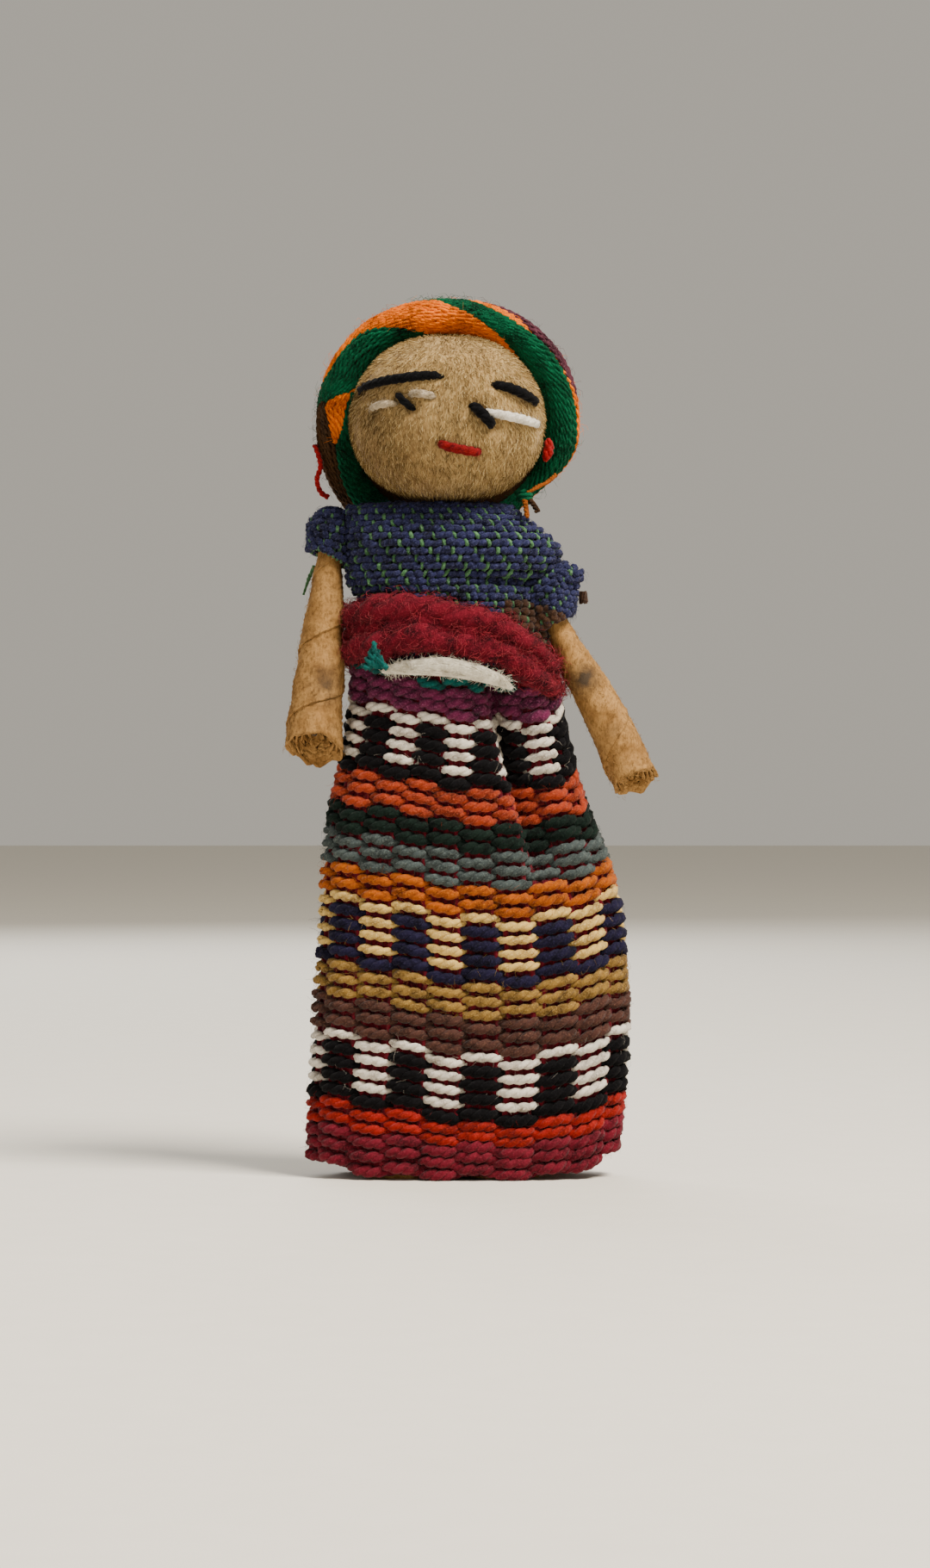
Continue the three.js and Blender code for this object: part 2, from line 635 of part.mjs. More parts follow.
function leastGap(name, line, radius, apart) {
  let least = Infinity;
  for (let i = 0; i < line.length; i++) {
    for (let j = i + apart; j < line.length; j++) least = Math.min(least, line[i].distanceTo(line[j]));
  }
  console.log(`${name}: least gap to itself ${(least - 2 * radius).toFixed(2)} mm`);
}

const stepsPerLoop = 24;
const nape = 0.1; // radians left open at the nape, where the yarn is knotted
const strandTurn = 2 * Math.PI * strandLoops - 2 * nape;
const twistRate = strandTwists + 1 / strandLoops;
const strandLine = Array.from({ length: stepsPerLoop * strandLoops + 1 }, (_, k) => {
  const turn = nape + (strandTurn * k) / (stepsPerLoop * strandLoops);
  return ringPoint(turn, turn * twistRate, strandOrbit);
});
leastGap('headwrap_yarn', strandLine, strandRadius, stepsPerLoop / 2);
add(doll, 'headwrap_yarn', woundTube(strandLine, strandRadius, 6), greenYarn);

const coreSteps = 32;
const coreLine = Array.from({ length: coreSteps + 1 }, (_, k) => {
  return ringPoint(nape + ((2 * Math.PI - 2 * nape) * k) / coreSteps, 0, 0);
});
add(doll, 'headwrap_core', woundTube(coreLine, wrapCoreRadius, 5), orangeYarn);

const capDome = Array.from({ length: 6 }, (_, k) => {
  const a = (Math.PI / 2) * (k / 5);
  return [k === 5 ? 0 : capHalfWidth * Math.cos(a), capHeight * Math.sin(a)];
});
const cap = lathe([[0, 0], ...capDome], 24).applyMatrix4(wrapFrame);
const capRoom = ellipsoid(shrunk(-seat), 22, 14);
add(doll, 'hair_cap_core', cut(cap, atHead(capRoom)), brownYarn);

const capLift = capYarnRadius + seat;
const capFirst = THREE.MathUtils.degToRad(23);
const capLast = THREE.MathUtils.degToRad(79);
const capLine = Array.from({ length: stepsPerLoop * capYarnLoops + 1 }, (_, k) => {
  const t = k / (stepsPerLoop * capYarnLoops);
  const rise = THREE.MathUtils.lerp(capFirst, capLast, t);
  const turn = 2 * Math.PI * capYarnLoops * t - Math.PI / 2;
  const r = (capHalfWidth + capLift) * Math.cos(rise);
  return new THREE.Vector3(r * Math.cos(turn), r * Math.sin(turn), (capHeight + capLift) * Math.sin(rise))
    .applyMatrix4(wrapFrame);
});
leastGap('hair_cap_yarn', capLine, capYarnRadius, stepsPerLoop / 2);
add(doll, 'hair_cap_yarn', woundTube(capLine, capYarnRadius, 6), brownYarn);

// The red stitch and the loose red thread at the ears
const fromHead = (x, y, z) => headCentre.clone().add(new THREE.Vector3(x, y, z));
const earX = headSize.x + 0.35;
add(doll, 'left_ear_stitch', rod(fromHead(earX, 0.4, -1.4), fromHead(earX - 0.15, 0.5, -2.5), 0.3, 6), redThread);
const wrapEdge = -(wrapHalfWidth + bundleRadius + seat);
const earThread = [[-0.15, 3.9, -1.3], [-0.2, 3.8, -2.4], [-0.1, 3.9, -3.6], [0.45, 4.0, -4.7]];
add(doll, 'right_ear_thread', tube(
  earThread.map(([x, y, z]) => fromHead(wrapEdge + x, y, z)),
  0.2,
  5,
  8,
), redThread);

// The headwrap's last strand comes down round the cheek to a knot with two cut ends beside the collar
const knot = fromHead(5.0, 0.3, -headSize.z + 0.45);
const endStrand = [[1.85, 3.6, 1.4], [1.25, 2.0, 0.7], [0.4, 0.6, 0.3]];
add(doll, 'headwrap_end_strand', tube(
  endStrand.map(([x, y, z]) => knot.clone().add(new THREE.Vector3(x + knotRadius, y + knotRadius / 2, z))),
  endStrandRadius,
  6,
  6,
), orangeYarn);
add(doll, 'headwrap_knot', new THREE.SphereGeometry(knotRadius, 10, 8).translate(knot.x, knot.y, knot.z), greenYarn);
const frontTail = [[0, -0.95, -0.25], [0.1, -2.1, -1.6]];
const backTail = [[0.75, -0.1, -0.55], [1.45, 0.1, -1.0]];
[['front', frontTail, orangeYarn], ['back', backTail, brownYarn]].forEach(([name, ends, material]) => {
  const [top, end] = ends.map(([x, y, z]) => knot.clone().add(new THREE.Vector3(x, y, z)));
  add(doll, `headwrap_${name}_tail`, rod(top, end, endStrandRadius, 6), material);
});

// Puts the origin on the ground below the middle of the doll.
doll.updateMatrixWorld(true);
const box = new THREE.Box3().setFromObject(doll, true);
const middle = box.getCenter(new THREE.Vector3());
doll.position.set(-middle.x, -middle.y, -box.min.z);
console.log(`moved by ${doll.position.toArray().map((value) => value.toFixed(3))}`);

export default doll;
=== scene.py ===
# A small handmade cloth doll: a felt head in a wound headwrap, woven blouse and skirt, wool sash, rolled paper arms.
# Lengths below are in millimetres, from the torso's axis, until a piece is made.
import math
import random

import bpy
import bmesh
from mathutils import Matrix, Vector, noise


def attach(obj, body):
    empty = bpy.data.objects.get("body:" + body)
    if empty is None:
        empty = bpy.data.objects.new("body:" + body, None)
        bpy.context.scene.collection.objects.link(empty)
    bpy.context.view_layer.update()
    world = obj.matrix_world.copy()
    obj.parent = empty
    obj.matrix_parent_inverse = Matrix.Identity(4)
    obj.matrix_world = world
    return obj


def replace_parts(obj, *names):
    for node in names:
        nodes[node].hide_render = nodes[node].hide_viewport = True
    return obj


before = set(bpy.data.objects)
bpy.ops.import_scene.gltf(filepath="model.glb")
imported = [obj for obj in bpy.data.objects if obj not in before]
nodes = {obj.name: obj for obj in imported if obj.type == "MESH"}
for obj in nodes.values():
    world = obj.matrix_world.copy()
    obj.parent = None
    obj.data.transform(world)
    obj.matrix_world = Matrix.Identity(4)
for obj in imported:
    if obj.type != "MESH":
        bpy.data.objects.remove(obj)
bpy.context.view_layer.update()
random.seed(11)

mm = 0.001
fullTurn = 2 * math.pi
axisPlace = Vector((-0.941, -0.038, 0))  # the torso's axis, from the middle of the bounding box
upwards = Vector((0, 0, 1))
backwards = Vector((0, 1, 0))


def mix(a, b, t):
    return a + (b - a) * t


def clamp(value, low=0.0, high=1.0):
    return max(low, min(high, value))


def smooth(value, low, high):
    t = clamp((value - low) / (high - low))
    return t * t * (3 - 2 * t)


def bump(value, middle, width):
    return math.exp(-(((value - middle) / width) ** 2))


# Camera, where the photograph was taken from, straight in front of the doll
view = {"distance": 280, "x": -0.38, "z": 26.86, "frameHeight": 107.6, "sensor": 36}
cameraData = bpy.data.cameras.new("camera")
camera = bpy.data.objects.new("camera", cameraData)
bpy.context.scene.collection.objects.link(camera)
bpy.context.scene.camera = camera
camera.location = (view["x"] * mm, -view["distance"] * mm, view["z"] * mm)
camera.rotation_euler = (math.pi / 2, 0, 0)
cameraData.sensor_width = view["sensor"]
cameraData.lens = view["sensor"] * view["distance"] / view["frameHeight"]
cameraData.clip_start = 0.005
cameraData.clip_end = 20
print("camera set")


# Materials
def linear(colour):
    values = [int(colour[i : i + 2], 16) / 255 for i in (1, 3, 5)]
    return (*[v / 12.92 if v <= 0.04045 else ((v + 0.055) / 1.055) ** 2.4 for v in values], 1)


# Adds a node. An input is given a plain value, a socket, or a node, whose first output in use is linked to it.
def addNode(tree, kind, inputs=None, **settings):
    node = tree.nodes.new("ShaderNode" + kind)
    for name, value in settings.items():
        setattr(node, name, value)
    for name, value in (inputs or {}).items():
        if isinstance(value, bpy.types.Node):
            value = next(output for output in value.outputs if output.enabled)
        if isinstance(value, bpy.types.NodeSocket):
            tree.links.new(value, node.inputs[name])
        else:
            node.inputs[name].default_value = value
    return node


def newMaterial(name):
    material = bpy.data.materials.new(name)
    material.use_nodes = True
    tree = material.node_tree
    tree.nodes.clear()
    return material, tree, addNode(tree, "TexCoord").outputs["Object"]


# The Scale of each noise is 1000 over the size of its patches in millimetres.

# Spun yarn: dyed fibre that is darker in its folds and paler where single fibres catch the light.
def yarnMaterial(name, dark, main, light, sheen=0.08, patch=1.1):
    material, tree, place = newMaterial(name)
    broad = addNode(tree, "TexNoise", {"Vector": place, "Scale": 1000 / patch, "Detail": 3.0})
    fine = addNode(tree, "TexNoise", {"Vector": place, "Scale": 1000 / 0.12, "Detail": 3.0, "Roughness": 0.7})
    deep = addNode(tree, "MapRange", {"Value": broad, "From Min": 0.42, "From Max": 0.72})
    bright = addNode(tree, "MapRange", {"Value": fine, "From Min": 0.5, "From Max": 0.8})
    body = addNode(tree, "Mix", {0: deep, 6: linear(main), 7: linear(dark)}, data_type="RGBA")
    fibres = addNode(tree, "Mix", {0: bright, 6: body, 7: linear(light)}, data_type="RGBA")
    rough = addNode(tree, "Bump", {"Strength": 0.8, "Distance": 0.07 * mm, "Height": fine})
    surface = addNode(tree, "BsdfPrincipled", {
        "Base Color": fibres, "Normal": rough, "Roughness": 0.95, "IOR": 1.5,
        "Specular IOR Level": 0.08, "Sheen Weight": sheen, "Sheen Roughness": 0.5,
    })
    addNode(tree, "OutputMaterial", {"Surface": surface})
    return material


# Kraft paper: unbleached pulp, mottled with darker fibres, and darker in the grey patches listed: scuffs and smudges
# from handling, and the darkest, on the left arm just below the sash's edge.
def kraftMaterial(name, pale, brown, fibreColour, smudgeColour, smudges):
    material, tree, place = newMaterial(name)
    broad = addNode(tree, "TexNoise", {"Vector": place, "Scale": 1000 / 1.3, "Detail": 5.0, "Roughness": 0.65})
    grain = addNode(tree, "Mapping", {"Vector": place, "Scale": (1.0, 1.0, 0.45)})
    pulp = addNode(tree, "TexNoise", {"Vector": grain, "Scale": 1000 / 0.22, "Detail": 5.0, "Roughness": 0.8})
    mottled = addNode(tree, "MapRange", {"Value": broad, "From Min": 0.4, "From Max": 0.62})
    speckled = addNode(tree, "MapRange", {"Value": pulp, "From Min": 0.47, "From Max": 0.68})
    sheet = addNode(tree, "Mix", {0: mottled, 6: linear(pale), 7: linear(brown)}, data_type="RGBA")
    colour = addNode(tree, "Mix", {0: speckled, 6: sheet, 7: linear(fibreColour)}, data_type="RGBA")
    for x, y, z, size, strength in smudges:
        away = addNode(tree, "VectorMath", {0: place, 1: (x * mm, y * mm, z * mm)}, operation="DISTANCE")
        near = addNode(tree, "MapRange", {
            "Value": away, "From Min": 0.0, "From Max": size * mm, "To Min": strength, "To Max": 0.0
        })
        patchy = addNode(tree, "Math", {0: near, 1: broad}, operation="MULTIPLY")
        share = addNode(tree, "MapRange", {"Value": patchy, "From Min": 0.1, "From Max": 0.5})
        colour = addNode(tree, "Mix", {0: share, 6: colour, 7: linear(smudgeColour)}, data_type="RGBA")
    rough = addNode(tree, "Bump", {"Strength": 0.7, "Distance": 0.08 * mm, "Height": pulp})
    surface = addNode(tree, "BsdfPrincipled", {
        "Base Color": colour, "Normal": rough, "Roughness": 0.88, "IOR": 1.5, "Specular IOR Level": 0.12
    })
    addNode(tree, "OutputMaterial", {"Surface": surface})
    return material


# Felt: brushed wool whose short fibres all lie downwards, so it looks streaked and a little silvery. Its lower right
# cheek, turned away from the key light, is darkened with painted shade.
def feltMaterial(name, dark, main, light, shadeFrom, shadeTo):
    material, tree, place = newMaterial(name)
    combed = addNode(tree, "Mapping", {"Vector": place, "Scale": (1.0, 1.0, 0.45)})
    streaks = addNode(tree, "TexNoise", {"Vector": combed, "Scale": 1000 / 0.16, "Detail": 4.0, "Roughness": 0.65})
    patches = addNode(tree, "TexNoise", {"Vector": place, "Scale": 1000 / 1.8, "Detail": 3.0})
    deep = addNode(tree, "MapRange", {"Value": patches, "From Min": 0.42, "From Max": 0.75})
    bright = addNode(tree, "MapRange", {"Value": streaks, "From Min": 0.45, "From Max": 0.8})
    body = addNode(tree, "Mix", {0: deep, 6: linear(main), 7: linear(dark)}, data_type="RGBA")
    colour = addNode(tree, "Mix", {0: bright, 6: body, 7: linear(light)}, data_type="RGBA")
    # painted shade: the felt darkens towards its lower right, away from the key light
    towards = addNode(tree, "VectorMath", {0: place, 1: (-0.65, 0, -0.76)}, operation="DOT_PRODUCT")
    shadeShare = addNode(tree, "MapRange", {
        "Value": towards, "From Min": shadeFrom * mm, "From Max": shadeTo * mm, "To Max": 0.75
    })
    paintedShade = addNode(tree, "Mix", {0: shadeShare, 6: colour, 7: linear(dark)}, data_type="RGBA")
    rough = addNode(tree, "Bump", {"Strength": 0.9, "Distance": 0.1 * mm, "Height": streaks})
    surface = addNode(tree, "BsdfPrincipled", {
        "Base Color": paintedShade, "Normal": rough, "Roughness": 0.95,
        "Specular IOR Level": 0.08, "Sheen Weight": 0.15, "Sheen Roughness": 0.45,
    })
    addNode(tree, "OutputMaterial", {"Surface": surface})
    return material


# Drawn steel wire: dull grey, with scuffs from being bent by hand.
def wireMaterial(name):
    material, tree, place = newMaterial(name)
    scuffs = addNode(tree, "TexNoise", {"Vector": place, "Scale": 1000 / 0.3, "Detail": 4.0})
    colour = addNode(tree, "Mix", {0: scuffs, 6: linear("#8f9194"), 7: linear("#6b6c6e")}, data_type="RGBA")
    rough = addNode(tree, "Bump", {"Strength": 0.2, "Distance": 0.02 * mm, "Height": scuffs})
    surface = addNode(tree, "BsdfPrincipled", {
        "Base Color": colour, "Normal": rough, "Metallic": 1.0, "Roughness": 0.42
    })
    addNode(tree, "OutputMaterial", {"Surface": surface})
    return material


yarns = {
    "crimson": yarnMaterial("crimson cotton yarn", "#2c050c", "#5e0f1e", "#862939"),
    "red": yarnMaterial("red cotton yarn", "#430706", "#85110c", "#a93021"),
    "white": yarnMaterial("undyed cotton yarn", "#857c70", "#cac2b5", "#ece6dc"),
    "black": yarnMaterial("black cotton yarn", "#020203", "#070608", "#19181b", 0.03),
    "brown": yarnMaterial("brown cotton yarn", "#1d100d", "#412822", "#6a4a3c"),
    "tan": yarnMaterial("tan cotton yarn", "#453114", "#84652f", "#ac8d54"),
    "navy": yarnMaterial("dark navy cotton yarn", "#06050e", "#17142a", "#312d4a", 0.03),
    "cream": yarnMaterial("cream cotton yarn", "#7c6031", "#c4a35a", "#e2cb92"),
    "orange": yarnMaterial("orange cotton yarn", "#562404", "#984808", "#c0711f"),
    "grey": yarnMaterial("blue-grey cotton yarn", "#1b2020", "#3c4545", "#646e69"),
    "darkGreen": yarnMaterial("dark green cotton yarn", "#030706", "#0e1a15", "#22322b", 0.03),
    "coral": yarnMaterial("coral cotton yarn", "#4a1407", "#8c2e15", "#bb5a3a"),
    "purple": yarnMaterial("purple cotton yarn", "#24071b", "#591a3a", "#8f4a6d"),
    "teal": yarnMaterial("teal cotton yarn", "#021f1f", "#034b48", "#106c62"),
    "maroon": yarnMaterial("maroon cotton warp", "#1f0408", "#5a0c1a", "#802632"),
    "blouseNavy": yarnMaterial("navy cotton weft", "#090a14", "#202242", "#4c4f76", 0.05),
    "blouseGreen": yarnMaterial("green cotton warp", "#1b3420", "#416a44", "#769d74"),
    "blouseBrown": yarnMaterial("dark brown cotton weft", "#150c07", "#372317", "#5a4233"),
}
kraft = kraftMaterial("kraft paper", "#a57e4b", "#815d32", "#5f4220", "#43372a", [  # x, y, z, size, strength
    (-9.6, -3.4, 33.6, 2.6, 0.75), (-9.3, -3.6, 35.6, 1.5, 0.6), (7.7, -1.5, 34.0, 1.9, 1.05),
    (9.8, -2.0, 30.5, 1.2, 0.5), (-9.4, -3.4, 30.6, 1.0, 0.5), (-11.9, -2.4, 28.6, 1.4, 0.5),
    (11.3, -1.6, 27.0, 1.8, 0.6),
])
steel = wireMaterial("drawn steel wire")
print("materials made")


# Strands of yarn and fibre. A strand is a list of points with a share of the full thickness at each.
def makeStrands(name, strands, radius, material, body, closed=False, sides=6):
    curve = bpy.data.curves.new(name, "CURVE")
    curve.dimensions = "3D"
    curve.bevel_depth = radius * mm
    curve.bevel_resolution = (sides - 4) // 2
    curve.use_fill_caps = True
    for strand in strands:
        spline = curve.splines.new("POLY")
        spline.points.add(len(strand) - 1)
        places, shares = [], []
        for point, share in strand:
            places += [(point[0] + axisPlace[0]) * mm, (point[1] + axisPlace[1]) * mm, point[2] * mm, 1]
            shares.append(share)
        spline.points.foreach_set("co", places)
        spline.points.foreach_set("radius", shares)
        spline.use_cyclic_u = closed
        spline.use_smooth = True
    curve.materials.append(material)
    piece = bpy.data.objects.new(name, curve)
    bpy.context.scene.collection.objects.link(piece)
    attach(piece, body)
    return piece


# Lays plies round a path as a spinner does, with a whole number of turns where the yarn closes on itself.
def twistPlies(path, orbit, twistLength, closed=False, plies=2, across=upwards, phase=0.0):
    count = len(path)
    steps = [(path[k][0] - path[k - 1][0]).length if k else 0.0 for k in range(count)]
    total = sum(steps) + ((path[0][0] - path[-1][0]).length if closed else 0.0)
    turns = max(1, round(total / twistLength)) if closed else total / twistLength
    strands = [[] for _ in range(plies)]
    travelled = 0.0
    for k, (point, share) in enumerate(path):
        travelled += steps[k]
        before = path[k - 1][0] if k or closed else point
        after = path[(k + 1) % count][0] if k < count - 1 or closed else point
        along = (after - before).normalized()
        side = along.cross(across).normalized()
        over = side.cross(along)
        for ply, strand in enumerate(strands):
            a = phase + fullTurn * (turns * travelled / total + ply / plies)
            strand.append((point + (side * math.cos(a) + over * math.sin(a)) * orbit * share, share))
    return strands


# One loose fibre that springs out of the yarn and curls over.
def looseFibre(root, outward, lengths):
    length = random.uniform(*lengths)
    sideways = Vector([random.uniform(-1, 1) for _ in range(3)])
    sideways -= outward * sideways.dot(outward)
    sideways.normalize()
    lift = random.uniform(0.15, 0.6)
    curl = outward.cross(sideways) * random.uniform(-0.5, 0.5)
    points = []
    for t in (0.0, 0.5, 1.0):
        away = outward * lift * math.sin(math.pi * 0.75 * t) + sideways * t + curl * t * t
        points.append((root + away * length, 1 - 0.5 * t))
    return points


# A finished shape as a piece that rides on a body, with a wall where one is given.
def makePiece(name, shape, material, body=None, wall=0.0, smoothly=True):
    mesh = bpy.data.meshes.new(name)
    shape.to_mesh(mesh)
    shape.free()
    if smoothly:
        for face in mesh.polygons:
            face.use_smooth = True
    mesh.materials.append(material)
    piece = bpy.data.objects.new(name, mesh)
    bpy.context.scene.collection.objects.link(piece)
    if wall:
        skin = piece.modifiers.new("wall", "SOLIDIFY")
        skin.thickness = wall * mm
        skin.offset = 0
    if body:
        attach(piece, body)
    return piece


# A smooth curve between two values, or two points, that leaves and arrives with the slopes given
def curved(low, high, slopeLow, slopeHigh, t):
    return (low * (2 * t**3 - 3 * t**2 + 1) + slopeLow * (t**3 - 2 * t**2 + t)
            + high * (3 * t**2 - 2 * t**3) + slopeHigh * (t**3 - t**2))


# Shapes of the garments, as a section at each share of a garment's length
def stationAt(stations, share):
    last = len(stations) - 1
    k = 0
    while k < last - 1 and stations[k + 1][0] < share:
        k += 1
    low, high = stations[k], stations[k + 1]
    span = high[0] - low[0]
    t = clamp((share - low[0]) / span)
    before, after = stations[max(k - 1, 0)], stations[min(k + 2, last)]
    values = []
    for i in range(1, len(low)):
        slopeLow = (high[i] - before[i]) / (high[0] - before[0]) * span
        slopeHigh = (after[i] - low[i]) / (after[0] - low[0]) * span
        values.append(curved(low[i], high[i], slopeLow, slopeHigh, t))
    return values


# A point of a garment's cross-section, a squared oval, at one angle from its left end and so far inside it
def section(angle, left, right, front, back, inset):
    power = 2 / 2.4
    c, s = math.cos(angle), math.sin(angle)
    depth = front if s < 0 else back
    x = (left + right) / 2 + ((right - left) / 2 - inset) * math.copysign(abs(c) ** power, c)
    y = (depth - inset) * math.copysign(abs(s) ** power, s)
    return x, y


# A ring of a garment at one share of its length, measured off evenly from the middle of the back.
class Ring:
    def __init__(self, pointAt, share, samples=300):
        self.pointAt, self.share = pointAt, share
        self.angles = [math.pi / 2 + fullTurn * k / samples for k in range(samples + 1)]
        self.lengths = [0.0]
        last = pointAt(self.angles[0], share, 0)
        for angle in self.angles[1:]:
            point = pointAt(angle, share, 0)
            self.lengths.append(self.lengths[-1] + (point - last).length)
            last = point

    def angle(self, fraction):
        wanted = (fraction % 1) * self.lengths[-1]
        low, high = 0, len(self.lengths) - 1
        while high - low > 1:
            middle = (low + high) // 2
            if self.lengths[middle] > wanted:
                high = middle
            else:
                low = middle
        t = (wanted - self.lengths[low]) / max(self.lengths[high] - self.lengths[low], 1e-9)
        return mix(self.angles[low], self.angles[high], t)

    def point(self, fraction, inset):
        return self.pointAt(self.angle(fraction), self.share, inset)


# The way out of the cloth at one of its points
def outwardAt(pointAt, angle, share):
    nearby = 0.01
    sideways = pointAt(angle + nearby, share, 0) - pointAt(angle - nearby, share, 0)
    rising = pointAt(angle, share + nearby, 0) - pointAt(angle, share - nearby, 0)
    return sideways.cross(rising).normalized()


# A closed cloth tube below the yarns, made from a grid that is wrapped round the body
def wrapGround(name, pointAt, span, ground, body):
    shell = bmesh.new()
    bmesh.ops.create_grid(shell, x_segments=ground["grid"][0], y_segments=ground["grid"][1], size=0.5)
    rings = {}
    for vertex in shell.verts:
        share = mix(*span, vertex.co.y + 0.5)
        key = round(share, 5)
        if key not in rings:
            rings[key] = Ring(pointAt, share, 120)
        vertex.co = (rings[key].point((vertex.co.x + 0.5) * 0.99999, ground["inset"]) + axisPlace) * mm
    bmesh.ops.remove_doubles(shell, verts=shell.verts, dist=0.002 * mm)
    bmesh.ops.recalc_face_normals(shell, faces=shell.faces)
    return makePiece(name, shell, yarns[ground["yarn"]], body, ground["wall"])


torsoRoll = {"x": -0.3, "radius": 2.4}  # the paper roll that the clothes hang round

# Skirt: a weft-faced cloth of two-ply picks over maroon warps, in bands, with one deep fold on the front
skirt = {
    "length": 34.4,
    "foldDepth": 2.5,
    "foldSteep": 0.75,  # half width of its left wall, which the left lip overhangs
    "foldSlope": 1.45,  # half width of its right wall
    "foldTopX": 2.35,
    "foldFootX": 6.0,
    "foldTuck": 0.4,  # how far the fold goes in under its left lip
    "foldFoot": 20.0,
    "foldRoom": 1.2,  # between the fold's bottom and the paper roll, and how far back it may go
    "foldBack": -0.3,
    "stations": [
        (0, -10.0, 11.0, 4.2), (0.06, -10.4, 11.3, 4.35), (0.3, -10.05, 12.0, 4.35), (0.5, -9.6, 11.6, 4.25),
        (0.62, -9.4, 10.75, 4.2), (0.74, -8.9, 9.1, 4.1), (0.86, -7.9, 7.9, 3.95), (1, -7.35, 7.0, 3.8),
    ],
    "firstPick": 1.0,  # height of the lowest pick's lower edge at the right seam
    "pitch": 0.471,
    "hemPicks": 10,  # the lowest picks, which are beaten closer
    "hemHeight": 0.34,
    "sideHem": 1.15,  # how much higher the hem is at the sides
    "leftHem": 0.4,  # and how much more at its left corner
    "leftHemX": (7.0, 10.5),
    "cordSag": 0.55,  # how far the top picks sag under the cord, from which row, and the middle and half width of it
    "sagRows": (69, 73.5),
    "sagX": (-0.8, 4.6),
    "bunched": 34.7,  # the height above which the cloth is bunched under the sash, and what is left of its height
    "bunching": 0.3,
    "dips": [(-10.5, 0.0), (-9.2, 0.1), (-6.3, 0.6), (-3.4, 1.05), (-0.8, 1.65), (1.6, 1.85), (4.3, 1.9), (6.2, 1.6),
             (8.3, 1.1), (10.6, 0.2), (12, 0.0)],  # how far the rows hang on the front, across it
    "backDip": 1.2,
    "frontEase": 1.6,  # depths over which the two dips set in from the sides
    "backEase": 3,
    "columns": 20,
    "columnShift": 0.55,
    "columnLag": 0.2,  # how far the columns stand aside on the front, at the foot and at the waist
    "columnLead": -0.1,
    "lagRows": (46, 66),  # the rows between which the one goes over into the other
    "stepsPerColumn": 11,
    "plyRadius": 0.25,
    "plyOrbit": 0.14,
    "twist": 1.6,
    "pickInset": 0.74,  # how deep the picks lie, and how far they swing in and out over the warps
    "pickSwing": 0.38,
    "unevenness": 0.07,  # how far they stray in and out, and up and down
    "waver": 0.1,
    "warpRadius": 0.24,
    "warpsPerColumn": 3,
    "bands": [
        ("crimson", 6), ("red", 4), ("black", 2), ("white", 1), ("black", 1), ("white", 1), ("black", 1),
        ("white", 1), ("black", 1), ("white", 2), ("brown", 5), ("tan", 5), ("navy", 2), ("cream", 1),
        ("navy", 1), ("cream", 1), ("navy", 1), ("cream", 1), ("navy", 1), ("cream", 2), ("orange", 4),
        ("grey", 5), ("darkGreen", 4), ("coral", 5), ("black", 2), ("white", 1), ("black", 1), ("white", 1),
        ("black", 1), ("white", 1), ("black", 1), ("white", 2), ("purple", 5), ("teal", 2),
    ],
    "lofts": {"white": 0.9, "cream": 0.9, "tan": 0.97, "orange": 0.97, "coral": 0.99, "black": 1.14, "navy": 1.1,
              "darkGreen": 1.1, "crimson": 1.12, "purple": 1.1, "brown": 1.05},
    "pale": ("white", "cream"),
    "fibres": 112,  # loose fibres on each pick, a quarter of it on the pale ones
    "fibreLengths": (0.25, 0.75),
    "fibreRadius": 0.008,
    "paleFibreRadius": 0.005,
    "ground": {"inset": 0.86, "wall": 0.3, "grid": (150, 50), "yarn": "maroon", "slot": "skirt_cloth"},
}


# Where the fold's bottom runs across the front at a height, and how deep it is at x
def foldAt(z):
    along = clamp((z - skirt["foldFoot"]) / (skirt["length"] - skirt["foldFoot"]))
    return mix(skirt["foldFootX"], skirt["foldTopX"], along), skirt["foldDepth"] * along**0.4


def skirtSection(angle, z, inset):
    left, right, depth = stationAt(skirt["stations"], clamp(z / skirt["length"]))
    x, y = section(angle, left, right, depth, depth, inset)
    foldX, foldDepth = foldAt(z)
    wall = skirt["foldSteep"] if x < foldX else skirt["foldSlope"]
    dent = foldDepth * bump(x, foldX, wall)
    if y < 0:
        x -= skirt["foldTuck"] * dent
        roll = math.sqrt(max(torsoRoll["radius"] ** 2 - (x - torsoRoll["x"]) ** 2, 0))
        y = min(y + dent, -roll - skirt["foldRoom"] + inset, skirt["foldBack"])
    return x, y


# A point of the cloth at one row, which hangs lower on the front than at the sides.
def skirtPoint(angle, row, inset):
    level = skirt["firstPick"] + skirt["pitch"] * row
    z = level
    for _ in range(2):
        x, y = skirtSection(angle, z, inset)
        if y < 0:
            dip = stationAt(skirt["dips"], clamp(x, -10.5, 11.99))[0]
            dip *= smooth(-y, 0, skirt["frontEase"])
        else:
            dip = skirt["backDip"] * smooth(y, 0, skirt["backEase"])
        z = level - dip
        if row < skirt["hemPicks"]:
            hem = skirt["sideHem"] * abs(math.cos(angle)) ** 4 + skirt["leftHem"] * smooth(x, *skirt["leftHemX"])
            top = skirt["firstPick"] + skirt["pitch"] * skirt["hemPicks"] - dip
            z = mix(hem + skirt["hemHeight"], top, row / skirt["hemPicks"])
        if y < 0:
            z -= skirt["cordSag"] * smooth(row, *skirt["sagRows"]) * bump(x, *skirt["sagX"])
        if z > skirt["bunched"]:
            z = skirt["bunched"] + (z - skirt["bunched"]) * skirt["bunching"]
    return Vector((x, y, z))


# The place of a point of a pick among the columns of warps, which lean a little on the front
def columnAt(fraction, row):
    lag = mix(skirt["columnLag"], skirt["columnLead"], smooth(row, *skirt["lagRows"]))
    lag *= smooth(fraction, 0.02, 0.2) * (1 - smooth(fraction, 0.5, 0.7))
    return skirt["columns"] * fraction + skirt["columnShift"] + lag


